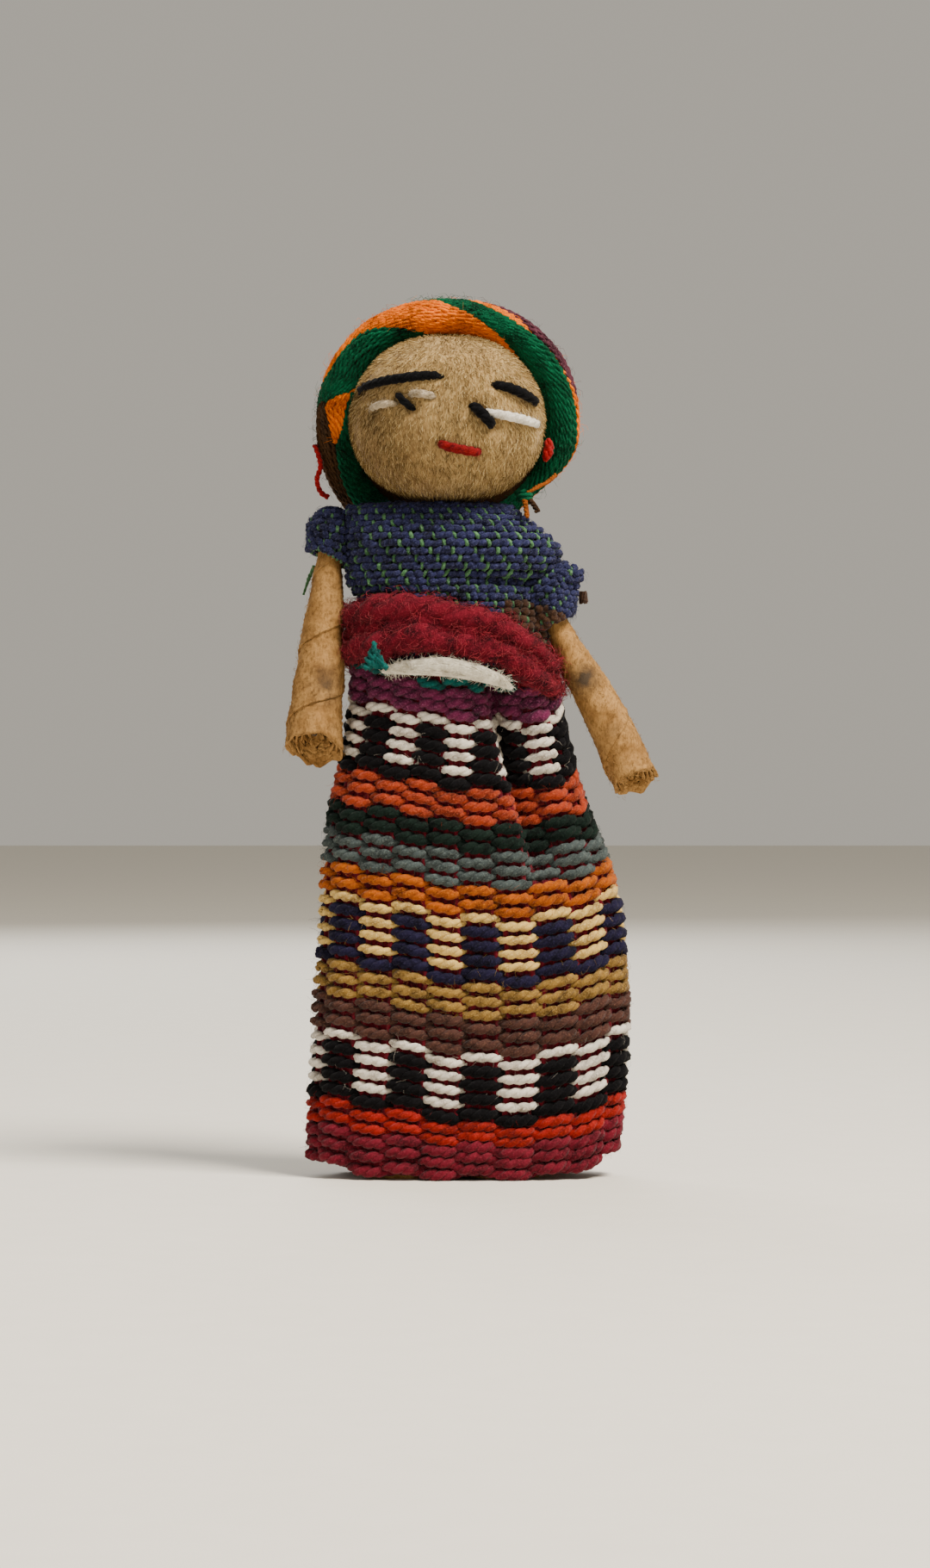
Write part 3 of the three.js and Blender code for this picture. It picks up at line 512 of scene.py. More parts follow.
def weaveSkirt():
    picks = [colour for colour, count in skirt["bands"] for _ in range(count)]
    steps = skirt["columns"] * skirt["stepsPerColumn"]
    plies, fibres = {}, {}
    for i, colour in enumerate(picks):
        ring = Ring(skirtPoint, i + 0.5)
        seed = Vector((0, 0, i * 3.7))
        loft = skirt["lofts"].get(colour, 1.0)
        path = []
        for k in range(steps):
            column = columnAt(k / steps, i)
            wave = math.cos(math.pi * (column + i))
            wave *= 1.5 - 0.5 * wave * wave
            unrest = noise.noise(Vector((column * 0.9, 0, 0)) + seed)
            inset = skirt["pickInset"] - skirt["pickSwing"] * wave + skirt["unevenness"] * unrest
            point = ring.point(k / steps, inset)
            point.z += skirt["waver"] * noise.noise(Vector((column * 0.6, 5, 0)) + seed)
            if i < 2:  # the hem rests on the floor
                point.z -= 0.08 + 0.05 * wave
            path.append((point, loft * (0.82 + 0.24 * wave + 0.12 * unrest)))
        plies.setdefault(colour, []).extend(
            twistPlies(path, skirt["plyOrbit"], skirt["twist"], closed=True, phase=random.uniform(0, 3))
        )
        for _ in range(skirt["fibres"] // (4 if colour in skirt["pale"] else 1)):
            angle = ring.angle(random.random())
            root = skirtPoint(angle, i + 0.5, 0.25)
            outward = outwardAt(skirtPoint, angle, i + 0.5)
            fibres.setdefault(colour, []).append(looseFibre(root, outward, skirt["fibreLengths"]))
    for colour, strands in plies.items():
        yarn, thin = yarns[colour], skirt["paleFibreRadius" if colour in skirt["pale"] else "fibreRadius"]
        makeStrands(f"skirt_{colour}_picks", strands, skirt["plyRadius"], yarn, "torso", True)
        makeStrands(f"skirt_{colour}_fuzz", fibres[colour], thin, yarn, "torso", sides=4)
    return len(picks)


rows = weaveSkirt()
print("skirt picks woven")

skirtGround = wrapGround("skirt_ground", skirtPoint, (0.3, rows + 0.2), skirt["ground"], "torso")
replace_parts(skirtGround, "skirt")

warpRings = [Ring(skirtPoint, 0.2 + (rows - 0.2) * k / 50, 160) for k in range(51)]
warps = []
warpCount = skirt["warpsPerColumn"] * skirt["columns"]
for k in range(warpCount):
    warps.append([(ring.point(k / warpCount, skirt["pickInset"]), 1.0) for ring in warpRings])
makeStrands("skirt_warps", warps, skirt["warpRadius"], yarns["maroon"], "torso")
print("skirt ground and warps made")

# The seam behind, one thread whipped over the skirt's edge
seam = {
    "stitches": 9, "length": 1.5, "outset": 0.22, "first": 0.06, "span": 0.86,
    "ply": 0.15, "orbit": 0.13, "twist": 0.9,
}
seamPath = []
corners = 2 * seam["stitches"]
for i in range(corners):
    row = rows * (seam["first"] + seam["span"] * i / (corners - 1))
    hand = 1 if (i + 1) // 2 % 2 else -1
    corner = skirtPoint(math.pi / 2, row, -seam["outset"]) + Vector((hand * seam["length"] / 2, 0, 0))
    if seamPath:
        last = seamPath[-1][0]
        seamPath += [(last.lerp(corner, t / 6), 1.0) for t in range(1, 6)]
    seamPath.append((corner, 0.9))
seamPlies = twistPlies(seamPath, seam["orbit"], seam["twist"], across=backwards)
seamThread = makeStrands("seam_thread", seamPlies, seam["ply"], yarns["red"], "torso")
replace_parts(seamThread, "skirt_seam_thread")

# Blouse: navy wefts that pass over two green warps and under one, with a brown stripe at its lower left corner
blouse = {
    "bottom": 34.7,
    "length": 11.3,
    "rows": 22,
    "firstRow": 2,
    "lipRows": 5,
    "columns": 72,
    "weftRadius": 0.1598,  # of one ply, of the thick brown yarn and of a warp
    "brownRadius": 0.2538,
    "warpRadius": 0.145,
    "chinGap": 0.35,  # how far its top edge is pressed down, so that it clears the chin
    "stations": [
        (0, -6.6, 5.6, 3.7, 3.5), (0.14, -6.65, 6.4, 3.75, 3.5), (0.32, -6.7, 6.0, 3.85, 3.45),
        (0.425, -6.75, 5.7, 3.95, 3.45), (0.515, -7.5, 5.8, 4.1, 3.45),
        (0.615, -7.65, 6.9, 4.15, 3.45), (0.74, -7.7, 7.1, 4.35, 3.45), (0.85, -7.8, 5.8, 4.0, 3.45),
        (1, -7.9, 4.15, 3.0, 3.0),
    ],
    "creaseZ": 40.9,
    "creaseDepth": 0.6,
    "creaseWidth": 0.45,
    "creaseTilt": 0.06,
    "creaseX": (-2.5, 1.5),  # where it sets in
    "stripe": {"x": 3.3, "y": 1, "top": 39.7, "slope": 0.3},
    "neck": Vector((-0.3, -0.2, 45.3)),
    "toNeck": 4.2,  # how far the cloth goes in over a shoulder
    "fibres": 150,  # loose fibres on each weft
    "ground": {"inset": 0.62, "wall": 0.15, "grid": (120, 36), "yarn": "navy", "slot": "blouse_cloth"},
}

# What the cloth of the blouse and of its sleeves has in common
weave = {
    "inset": 0.16,  # how deep a weft lies, and how much deeper where it goes under a warp
    "dive": 0.36,
    "unevenness": 0.08,
    "warpInset": 0.5,  # how deep a warp lies, and how much nearer where it comes over a weft
    "warpRise": 0.4,
    "stepsPerColumn": 4,
    "plyOrbit": 0.09,
    "twist": 1.1,
    "fibreRadius": 0.008,
    "fibreLengths": (0.25, 0.65),
}


def blousePoint(angle, share, inset):
    inShare = min(share, 1.0)
    left, right, front, back = stationAt(blouse["stations"], inShare)
    x, y = section(angle, left, right, front, back, inset)
    z = blouse["bottom"] + inShare * blouse["length"] - blouse["chinGap"] * smooth(inShare, 0.8, 1)
    if y < 0:
        crease = bump(z, blouse["creaseZ"] - blouse["creaseTilt"] * x, blouse["creaseWidth"])
        y = min(y + blouse["creaseDepth"] * crease * smooth(x, *blouse["creaseX"]), 0)
    point = Vector((x, y, z))
    if share > 1:  # the cloth turns in over the shoulders to the neck
        inwards = (share - 1) * blouse["length"] / blouse["toNeck"]
        point = point.lerp(blouse["neck"], 0.75 * clamp(inwards))
        point.z = z + 0.25 * math.sin(math.pi * clamp(inwards)) - 0.5 * clamp(inwards) ** 2
    return point


def isBrown(point):
    stripe = blouse["stripe"]
    outwards = point.x - stripe["x"]
    return outwards > 0 and point.y < stripe["y"] and point.z < stripe["top"] - stripe["slope"] * outwards


# Splits a path wherever a test of its points changes.
def runsOf(path, test):
    runs = []
    for point, share in path + path[:1]:
        kind = test(point)
        if not runs or runs[-1][0] != kind:
            runs.append((kind, [runs[-1][1][-1]] if runs else []))
        runs[-1][1].append((point, share))
    return [(kind, run) for kind, run in runs if len(run) > 2]


# How far a green warp stands in front of the navy weft, from 0 to 1, in a weave that repeats every third thread
def warpLift(column, row):
    sunk = clamp(0.8 + 1.1 * noise.noise(Vector((round(column) * 1.7, round(row) * 1.3, 3))), 0.2, 1)
    return sunk * max(0.0, math.cos(fullTurn * (column + row) / 3)) ** 1.5


# How far the weft is pinched in: fully where it goes under a warp, and a little halfway along its float
def pinch(column, row):
    turn = math.cos(fullTurn * (column + row) / 3)
    return max(0.0, turn) ** 1.5 + 0.45 * max(0.0, -turn) ** 5


# One weft round the body, in two plies, or as a thick single yarn where the stripe is brown
def layWeft(placeAt, columns, row, seed, sway, cloth):
    steps = columns * weave["stepsPerColumn"]
    path = []
    for k in range(steps):
        pinched = pinch(columns * k / steps, row)
        unrest = noise.noise(Vector((k * 0.13, 0, 0)) + seed)
        inset = weave["inset"] + weave["dive"] * pinched + weave["unevenness"] * unrest
        point = placeAt(k / steps, inset)
        point.z += sway * unrest
        path.append((point, 1.25 - 0.6 * pinched + 0.25 * unrest))
    for kind, run in runsOf(path, isBrown):
        if kind:
            cloth["brown_wefts"].append(run)
        else:
            cloth["wefts"] += twistPlies(run, weave["plyOrbit"], weave["twist"], phase=row)


# One point of a warp, and its thickness there, where it stands so far in front
def warpAt(placeAt, share, lift):
    return placeAt(share, weave["warpInset"] - weave["warpRise"] * lift), 0.85 + 0.25 * lift


def newCloth():
    return {"wefts": [], "brown_wefts": [], "warps": [], "fuzz": []}


def makeCloth(node, cloth, sizes, body):
    looks = {
        "wefts": (sizes["weftRadius"], "blouseNavy"), "brown_wefts": (sizes["brownRadius"], "blouseBrown"),
        "warps": (sizes["warpRadius"], "blouseGreen"), "fuzz": (weave["fibreRadius"], "blouseNavy"),
    }
    pieces = {}
    for part, strands in cloth.items():
        if strands:
            radius, yarn = looks[part]
            sides = 4 if part == "fuzz" else 6
            pieces[part] = makeStrands(
                f"{node}_{part}", strands, radius, yarns[yarn], body, sides=sides
            )
    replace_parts(pieces["wefts"], node)


def weaveBlouse():
    columns, firstRow = blouse["columns"], blouse["firstRow"]
    lastRow = blouse["rows"] + blouse["lipRows"]
    cloth = newCloth()
    for i in range(firstRow, lastRow):
        ring = Ring(blousePoint, (i + 0.5) / blouse["rows"])
        layWeft(ring.point, columns, i, Vector((0, 9, i * 2.3)), 0.12, cloth)
        for _ in range(blouse["fibres"]):
            angle = ring.angle(random.random())
            root = blousePoint(angle, ring.share, 0.12)
            outward = outwardAt(blousePoint, angle, min(ring.share, 0.98))
            cloth["fuzz"].append(looseFibre(root, outward, weave["fibreLengths"]))
    steps = 3 * (lastRow - firstRow)
    rings = [Ring(blousePoint, (firstRow + k / 3) / blouse["rows"], 160) for k in range(steps + 1)]
    for column in range(columns):
        strand = []
        for k, ring in enumerate(rings):
            lift = warpLift(column, firstRow + k / 3 - 0.5)
            strand.append(warpAt(ring.point, column / columns, lift))
        cloth["warps"].append(strand)
    makeCloth("blouse", cloth, blouse, "torso")


weaveBlouse()
blouseGround = wrapGround("blouse_ground", blousePoint, (0.02, 1.4), blouse["ground"], "torso")
print("blouse woven")

# Arms, sleeves and what hangs from them share each shoulder's place and the arm's direction
shoulders = {
    "right": {"place": Vector((-8.588, 0, 44.15)), "lean": -4.5, "forward": 8.7},
    "left": {"place": Vector((6.598, 0, 39.9)), "lean": 23.6, "forward": 2.7},
}
for shoulder in shoulders.values():
    out, forward = (math.tan(math.radians(shoulder[key])) for key in ("lean", "forward"))
    shoulder["direction"] = Vector((out, -forward, -1)).normalized()
    shoulder["turn"] = Vector((0, 0, -1)).rotation_difference(shoulder["direction"])


# Turns a point of an arm that hangs straight down into its place.
def onArm(side, point):
    return shoulders[side]["turn"] @ Vector(point) + shoulders[side]["place"]


# Radius of each arm at distances below the shoulder, how far down its edge goes in one turn and where that starts,
# its bow, and how far its end is cut aslant
arms = {
    "right": {
        "stations": [(0.9, 0.65), (3.5, 1.05), (8.0, 1.55), (14.9, 2.0)], "pitch": 5.0, "start": 1.35, "bend": 0.0,
        "cut": 0.75,
    },
    "left": {
        "stations": [(0.9, 0.8), (6.0, 1.28), (9.9, 1.5), (14.0, 1.62)], "pitch": 6.6, "start": 2.6, "bend": -0.7,
        "cut": 0.6,
    },
}
roll = {
    "turns": 6, "segments": 40, "step": 0.36, "paper": 0.1,
    "crumple": 0.1, "fineCrumple": 0.06, "creaseDepth": 0.12,
    "tear": 0.5,  # how ragged its lower end is
    "fibres": 650, "fibreRadius": 0.012, "fibreLengths": (0.15, 0.45),
}


def armPoint(side, angle, down, radius):
    arm = arms[side]
    end = arm["stations"][-1][0]
    x, y = radius * math.cos(angle), radius * math.sin(angle)
    slant = arm["cut"] * (0.35 + y / radius * clamp(radius)) * smooth(down, end - 4, end)
    bend = arm["bend"] * (1 - smooth(down, 1.5, 11))
    return onArm(side, (x + bend, y, -down - slant))


# A sheet of paper wound on itself. Its outer edge runs round the arm as a slanting seam.
def rollArm(side):
    arm = arms[side]
    top, end = arm["stations"][0][0], arm["stations"][-1][0]
    count = roll["turns"] * roll["segments"]
    levels = round((end - top) / roll["step"])
    sheet = bmesh.new()
    chain = [sheet.verts.new((k, 0, 0)) for k in range(count + 1)]
    edges = [sheet.edges.new((chain[k], chain[k + 1])) for k in range(count)]
    for level in range(levels):
        made = bmesh.ops.extrude_edge_only(sheet, edges=edges)["geom"]
        raised = [item for item in made if isinstance(item, bmesh.types.BMVert)]
        bmesh.ops.translate(sheet, vec=(0, 0, 1), verts=raised)
        edges = [item for item in made if isinstance(item, bmesh.types.BMEdge) and item.is_boundary
                 and abs(item.verts[0].co.z - item.verts[1].co.z) < 0.5]
    for vertex in sheet.verts:
        k, level = round(vertex.co.x), round(vertex.co.z)
        down = mix(top, end, level / levels)
        radius = stationAt(arm["stations"], down)[0]
        u = roll["turns"] * (1 - k / count)  # how many turns in from the outer edge
        angle = arm["start"] - fullTurn * u - fullTurn * down / arm["pitch"]
        spot = Vector((math.cos(angle) * 1.3, math.sin(angle) * 1.3, down * 0.7 + len(side)))
        crease = roll["creaseDepth"] * bump(down, 0.4 * radius + 7, 0.35) * bump(math.sin(angle), -1, 0.8)
        r = radius * (1 - 0.045 * u - 0.016 * u * u) + roll["crumple"] * noise.noise(spot)
        r += roll["fineCrumple"] * noise.noise(spot * 3) - crease
        torn = roll["tear"] * noise.noise(Vector((angle * 2.2, u * 2.3, 4 + len(side)))) - 0.14 * u
        down += torn * smooth(level / levels, 0.93, 1)
        vertex.co = (armPoint(side, angle, down, max(r, 0.08)) + axisPlace) * mm
    bmesh.ops.recalc_face_normals(sheet, faces=sheet.faces)
    piece = makePiece(f"{side}_arm_roll", sheet, kraft, f"{side}_arm", roll["paper"])
    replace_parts(piece, f"{side}_arm_paper_roll")
    fibres = []
    for _ in range(roll["fibres"]):
        down = random.uniform(top + 0.5, end + 0.2)
        angle = random.uniform(0, fullTurn)
        radius = stationAt(arm["stations"], min(down, end))[0]
        root = armPoint(side, angle, down, radius * 0.97)
        outward = (root - armPoint(side, angle, down, radius * 0.2)).normalized()
        fibres.append(looseFibre(root, outward, roll["fibreLengths"]))
    makeStrands(
        f"{side}_arm_pulp_fibres", fibres, roll["fibreRadius"], kraft, f"{side}_arm", sides=4
    )


for side in arms:
    rollArm(side)
print("arms rolled")

# Sleeves: short caps of the blouse's cloth, woven in rings over each arm
sleeves = {
    "right": {"radius": 1.75, "length": 1.9, "columns": 24},
    "left": {"radius": 2.25, "length": 3.2, "columns": 27},
}
sleeveWeave = {
    "rumple": 0.16, "mouth": 0.93,  # how wide its mouth is, against its top
    "rowPitch": 0.51, "weftRadius": 0.16, "brownRadius": 0.25, "warpRadius": 0.12, "fibres": 70,
    "ground": {"inset": 0.55, "wall": 0.1, "grid": (60, 20), "yarn": "navy", "slot": "blouse_cloth"},
}


def sleevePoint(side, angle, travelled, inset):
    sleeve = sleeves[side]
    radius = sleeve["radius"]
    cap = radius * math.pi / 2  # length of the cloth over the shoulder's round top
    c, s = math.cos(angle), math.sin(angle)
    down = max(travelled - cap, 0) / sleeve["length"]
    if travelled < cap:
        a = travelled / radius
        r, z = (radius - inset) * math.sin(a), (radius - inset) * math.cos(a)
    else:
        r, z = (radius - inset) * mix(1, sleeveWeave["mouth"], down), -(travelled - cap)
    rumple = noise.noise(Vector((c * 1.6, s * 1.6, travelled * 0.5 + len(side))))
    r *= 1 + sleeveWeave["rumple"] * rumple
    if side == "right":
        return onArm(side, (r * c, r * s, z - 0.55 * down * c))
    r += smooth(c, 0.4, 1) * (0.75 * bump(z, 1.5, 0.6) - 0.1 * bump(z, 0.4, 0.3))  # a small flap stands out
    # the left one hangs straight down, and its mouth slants up towards the outside
    point = Vector((-0.35 + r * c, r * s, z * (1 - 0.3 * down * (1 + c)) + 0.25 * rumple))
    point.x -= 0.5 * down * c
    return point + shoulders[side]["place"]


def weaveSleeve(side):
    sleeve = sleeves[side]
    total = sleeve["radius"] * math.pi / 2 + sleeve["length"]
    rows = round(total / sleeveWeave["rowPitch"])
    columns, body = sleeve["columns"], f"{side}_arm"
    cloth = newCloth()
    for i in range(1, rows):
        travelled = total * (i + 0.5) / rows
        layWeft(lambda share, inset: sleevePoint(side, fullTurn * share, travelled, inset), columns, i,
                Vector((0, i * 2.1, len(side))), 0, cloth)
        for _ in range(sleeveWeave["fibres"]):
            angle = random.uniform(0, fullTurn)
            root = sleevePoint(side, angle, travelled, 0.1)
            outward = (root - sleevePoint(side, angle, travelled, sleeve["radius"] * 0.9)).normalized()
            cloth["fuzz"].append(looseFibre(root, outward, weave["fibreLengths"]))
    for column in range(columns):
        angle = fullTurn * column / columns
        strand = []
        for k in range(3, 4 * rows + 1):
            strand.append(warpAt(lambda share, inset: sleevePoint(side, angle, total * share, inset),
                                 k / (4 * rows), warpLift(column, k / 4 - 0.5)))
        cloth["warps"].append(strand)
    makeCloth(f"{side}_sleeve", cloth, sleeveWeave, body)
    wrapGround(f"{side}_sleeve_ground", lambda angle, share, inset: sleevePoint(side, angle, share, inset),
               (0.3, total - 0.1), sleeveWeave["ground"], body)


for side in sleeves:
    weaveSleeve(side)

# The loose end of a green warp under the right sleeve, and the cut end of a brown weft on the left one
warpEnd = [
    shoulders["right"]["place"] + Vector(p) for p in [(-1.2, 0.4, -2.3), (-1.6, 0.5, -3.2), (-1.95, 0.3, -4.3)]
]
warpPath = [(warpEnd[0].lerp(warpEnd[1], t / 4), 1.0) for t in range(4)]
warpPath += [(warpEnd[1].lerp(warpEnd[2], t / 4), 1.0 - 0.1 * t) for t in range(5)]
looseWarp = makeStrands(
    "loose_warp_yarn", twistPlies(warpPath, 0.07, 0.7, across=backwards), 0.1, yarns["blouseGreen"],
    "right_arm",
)
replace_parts(looseWarp, "loose_warp_end")

stub = {"low": Vector((2.12, 0.5, -0.6)), "high": Vector((2.05, 0.45, 0.15)), "radius": 0.2, "plies": 8}
stubPlies = []
for k in range(stub["plies"]):
    a = fullTurn * k / stub["plies"]
    strand = []
    for t in range(5):
        middle = shoulders["left"]["place"] + stub["low"].lerp(stub["high"], t / 4)
        around = Vector((math.cos(a + t / 6), math.sin(a + t / 6), 0)) * stub["radius"]
        strand.append((middle + around + upwards * 0.06 * math.cos(3 * a), 1.0))
    stubPlies.append(strand)
cutWeft = makeStrands("cut_weft_yarn", stubPlies, 0.12, yarns["blouseBrown"], "left_arm")
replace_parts(cutWeft, "cut_weft_end")
print("sleeves woven")

# Sash: thick lofty wool wound round the waist, two turns over a third, which slip down over the skirt on the left
sash = {
    "tops": [(-8, 39.2), (-6.5, 39.4), (-3.5, 39.8), (-1.8, 39.6), (0, 39.0), (2.5, 38.4), (4.3, 37.1), (5, 36.15),
             (6, 35.2), (7.3, 34.5)],
    "bottoms": [(-8, 34.6), (-6.5, 34.7), (-5, 35.1), (-3.5, 35.5), (-1.5, 35.55), (1, 35.25), (2.8, 34.7),
                (4, 33.6), (5.2, 32.7), (6.4, 33.1), (7.3, 33.7)],
    "backBottom": 34.3,
    "waist": (-6.65, 5.45, 3.8, 3.5),  # left, right, front and back of what it is wound on
    "turns": [(0.76, 0.55), (0.26, 0.7), (0.5, 0.3)],  # place between the edges, and how far it stands out
    "steps": 200,
    "slip": 0.8,  # how much further out it lies on the left
    "wanderY": 0.1,  # how far a turn strays in and out, and up and down
    "wanderZ": 0.4,
    "strand": 0.6,
    "orbit": 0.3,
    "twist": 4.6,
    "plies": 3,
    "fibres": 9600,
    "fibreRadius": 0.017,
    "fibreLengths": (0.4, 1.05),
}


def sashPoint(angle, share, outset):
    x, y = section(angle, *sash["waist"], 0)
    top, bottom = stationAt(sash["tops"], x)[0], stationAt(sash["bottoms"], x)[0]
    if y > 0:
        bottom = mix(bottom, min(bottom, sash["backBottom"]), smooth(y, 0, 2))
    z = mix(bottom, top, share)
    slipped = smooth(x, 3.2, 6.0)
    return Vector((*section(angle, *sash["waist"], -outset - sash["slip"] * slipped), z)), top - bottom


def sashPath(row, share, outset):
    path = []
    for k in range(sash["steps"]):
        angle = fullTurn * k / sash["steps"]
        lump = 0.5 + 0.9 * noise.noise(Vector((k * 0.13, row * 5, 0)))
        lump += 0.3 * noise.noise(Vector((k * 0.35, row * 5, 4)))
        place, height = sashPoint(angle, share, outset)
        size = height / 4 * mix(0.86, 1.2, clamp(lump)) / (sash["strand"] + sash["orbit"])
        size *= 0.62 + 0.38 * abs(math.sin(angle))
        place.y += sash["wanderY"] * noise.noise(Vector((k * 0.2, row, 7)))
        place.z += sash["wanderZ"] * noise.noise(Vector((k * 0.13, row * 9, 2)))
        path.append((place, size))
    return path


woolStrands, woolFibres = [], []
for row, (share, outset) in enumerate(sash["turns"]):
    path = sashPath(row, share, outset)
    woolStrands += twistPlies(path, sash["orbit"], sash["twist"], closed=True, plies=sash["plies"], phase=1.7 * row)
    for _ in range(sash["fibres"] // len(sash["turns"])):
        k = random.randrange(sash["steps"])
        centre, size = path[k]
        along = (path[(k + 1) % sash["steps"]][0] - centre).normalized()
        around = random.uniform(0, fullTurn)
        outward = Vector((centre.x, centre.y, 0)).normalized()
        side = along.cross(outward).normalized()
        away = (outward * math.cos(around) + side * math.sin(around)).normalized()
        root = centre + along * random.uniform(-0.1, 0.1) + away * (sash["strand"] + sash["orbit"] * 0.6) * size
        woolFibres.append(looseFibre(root, away, sash["fibreLengths"]))
sashWool = yarnMaterial("lofty crimson wool", "#1e0309", "#5a0d1b", "#8f2837", 0.03, 0.9)
redWool = yarnMaterial("brighter red wool fibre", "#4a0a12", "#8a1c28", "#b04650", 0.1, 1.0)
woolPiece = makeStrands("sash_wool_turns", woolStrands, sash["strand"], sashWool, "torso", True, 8)
for name, fibres, wool in [("wool", woolFibres[::2], sashWool), ("red", woolFibres[1::2], redWool)]:
    makeStrands(f"sash_{name}_fuzz", fibres, sash["fibreRadius"], wool, "torso", sides=4)
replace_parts(woolPiece, "wool_sash")
print("sash wound")

# Waist cord: a soft unspun roving that thins towards both ends
cord = {
    "points": [(-5.04, 34.5), (-3.8, 34.72), (-2.0, 34.8), (-0.5, 34.75), (1.35, 34.4), (2.85, 33.9), (3.75, 33.4)],
    "radius": 0.63,
    "tip": 0.1,
    "core": 0.93,  # share of the radius that is solid
    "fibres": 240,
    "fibreRadius": 0.04,
    "fuzz": 1000,
    "fuzzRadius": 0.012,
    "fuzzLengths": (0.25, 0.7),
    "gap": 0.35,  # between the cord and the skirt
}


# The cord's middle and radius at a share of its length. It lies on the skirt's top edge.
def cordAt(t):
    place = t * (len(cord["points"]) - 1)
    k = min(int(place), len(cord["points"]) - 2)
    (xLow, zLow), (xHigh, zHigh) = cord["points"][k], cord["points"][k + 1]
    x, z = mix(xLow, xHigh, place - k), mix(zLow, zHigh, place - k)
    radius = cord["tip"] + (cord["radius"] - cord["tip"]) * math.sin(math.pi * clamp(t)) ** 0.7
    left, right, depth = stationAt(skirt["stations"], 1)
    across = (x - (left + right) / 2) / ((right - left) / 2)
    return Vector((x, -depth * (1 - 0.35 * across**2) - cord["gap"] - radius, z)), radius


cordPath, roving = [], []
for k in range(41):
    point, radius = cordAt(k / 40)
    cordPath.append((point, radius * cord["core"]))
for _ in range(cord["fibres"]):
    start, length = random.uniform(-0.05, 0.75), random.uniform(0.2, 0.45)
    angle, spin = random.uniform(0, fullTurn), random.uniform(-0.8, 1.6)
    strand = []
    for k in range(9):
        point, radius = cordAt(clamp(start + length * k / 8))
        a = angle + spin * k / 8
        strand.append((point + Vector((0, math.cos(a), math.sin(a))) * radius * 0.97, 1.0))
    roving.append(strand)
cordFuzz = []
for _ in range(cord["fuzz"]):
    point, radius = cordAt(random.uniform(0.02, 0.98))
    outward = Vector((random.uniform(-0.2, 0.2), -1, random.uniform(-1.4, 1.4))).normalized()
    cordFuzz.append(looseFibre(point + outward * radius * 0.85, outward, cord["fuzzLengths"]))
# painted shade: the solid core is a darker copy of the loose fibres' cotton, so it reads as shade between the fibres
# over it
shadedRovingCore = yarnMaterial("undyed cotton roving", "#857d66", "#c3bca5", "#ece7d8", 0.1, 0.8)
cottonRoving = yarnMaterial("loose cotton fibre", "#a8a08c", "#dcd6c3", "#f8f5ec", 0.1, 0.8)
cordPiece = makeStrands("waist_cord_roving", [cordPath], 1.0, shadedRovingCore, "torso", sides=12)
makeStrands("waist_cord_fibres", roving, cord["fibreRadius"], cottonRoving, "torso", sides=4)
makeStrands("waist_cord_fuzz", cordFuzz, cord["fuzzRadius"], cottonRoving, "torso", sides=4)
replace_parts(cordPiece, "waist_cord")

# Teal yarn that shows in a small wedge between the sash and the cord
wedge = {"strands": 7, "x": -6.15, "spacing": 0.22, "y": -5.05, "z": 34.7, "height": 1.7, "orbit": 0.1, "ply": 0.14}
tealWedge = []
for k in range(wedge["strands"]):
    x = wedge["x"] + wedge["spacing"] * k
    height = wedge["height"] - 0.5 * abs(k - 3)
    path = []
    for t in range(7):
        y = wedge["y"] - 0.25 * math.sin(math.pi * t / 6)
        path.append((Vector((x + 0.1 * math.sin(t), y, wedge["z"] + height * t / 6)), 1.0))
    tealWedge += twistPlies(path, wedge["orbit"], 0.9, across=backwards, phase=k)
makeStrands("teal_wedge", tealWedge, wedge["ply"], yarns["teal"], "torso")
print("cord laid")

# Head: felt drawn over a stuffed ball, with a nap of short fibres that mostly lie downwards
head = {
    "half": Vector((6.85, 5.6, 5.4)),
    "centre": Vector((-0.35, -1.0, 51.7)),
    "feltHalf": Vector((6.63, 5.45, 5.6)),
    "feltCentre": Vector((-0.65, -1.0, 51.85)),
    "squareness": 2.3,
    "taper": 0.07,  # how much narrower its top is
    "gather": 0.5,  # how deep it is drawn in behind
    "pleats": 11,
    "dimple": 0.26,  # how far a stitch pulls the felt in at its ends
    "dimpleSpread": 0.0045,
    "fibres": 16500,
    "fibreLengths": (0.22, 0.5),
    "fibreRadius": 0.018,
}
# The two ends of each stitch, in shares of the head's half width and half height from its middle
stitches = {
    "right_eyebrow": ((-0.93, 0.32), (-0.1, 0.477)),
    "left_eyebrow": ((0.43, 0.377), (0.885, 0.18)),
    "right_eye_outer_white": ((-0.77, 0.085), (-0.55, 0.142)),
    "right_eye_inner_white": ((-0.41, 0.244), (-0.18, 0.225)),
    "right_pupil": ((-0.525, 0.245), (-0.38, 0.065)),
    "left_eye_white": ((0.32, 0.025), (0.915, -0.097)),
    "left_pupil": ((0.222, 0.108), (0.41, -0.15)),
    "mouth": ((-0.125, -0.375), (0.287, -0.472)),
}


def byHalf(vector, half):
    return Vector([vector[i] / half[i] for i in range(3)])


# A point of the felt in one direction from its middle: a ball, slightly squared by its stuffing
def feltPoint(direction, lift):
    power = head["squareness"]
    full = sum(abs(v) ** power for v in direction) ** (-1 / power)
    ball = direction * head["feltHalf"] * full
    ball.x *= 1 - head["taper"] * smooth(direction.z, 0, 0.7)
    return ball * (1 + lift / ball.length) + head["feltCentre"]


def facePoint(u, w, lift):
    y = -math.sqrt(max(1 - u * u - w * w, 0.02))
    out = Vector((u, y, w)) * head["half"] + head["centre"]
    away = byHalf(out - head["feltCentre"], head["feltHalf"]).normalized()
    return feltPoint(away, lift - dimple(away) * 0.4)


stitchEnds = []
for ends in stitches.values():
    for u, w in ends:
        end = byHalf(Vector((u, 0, w)) * head["half"] + head["centre"] - head["feltCentre"], head["feltHalf"])
        stitchEnds.append((end.x, end.z))


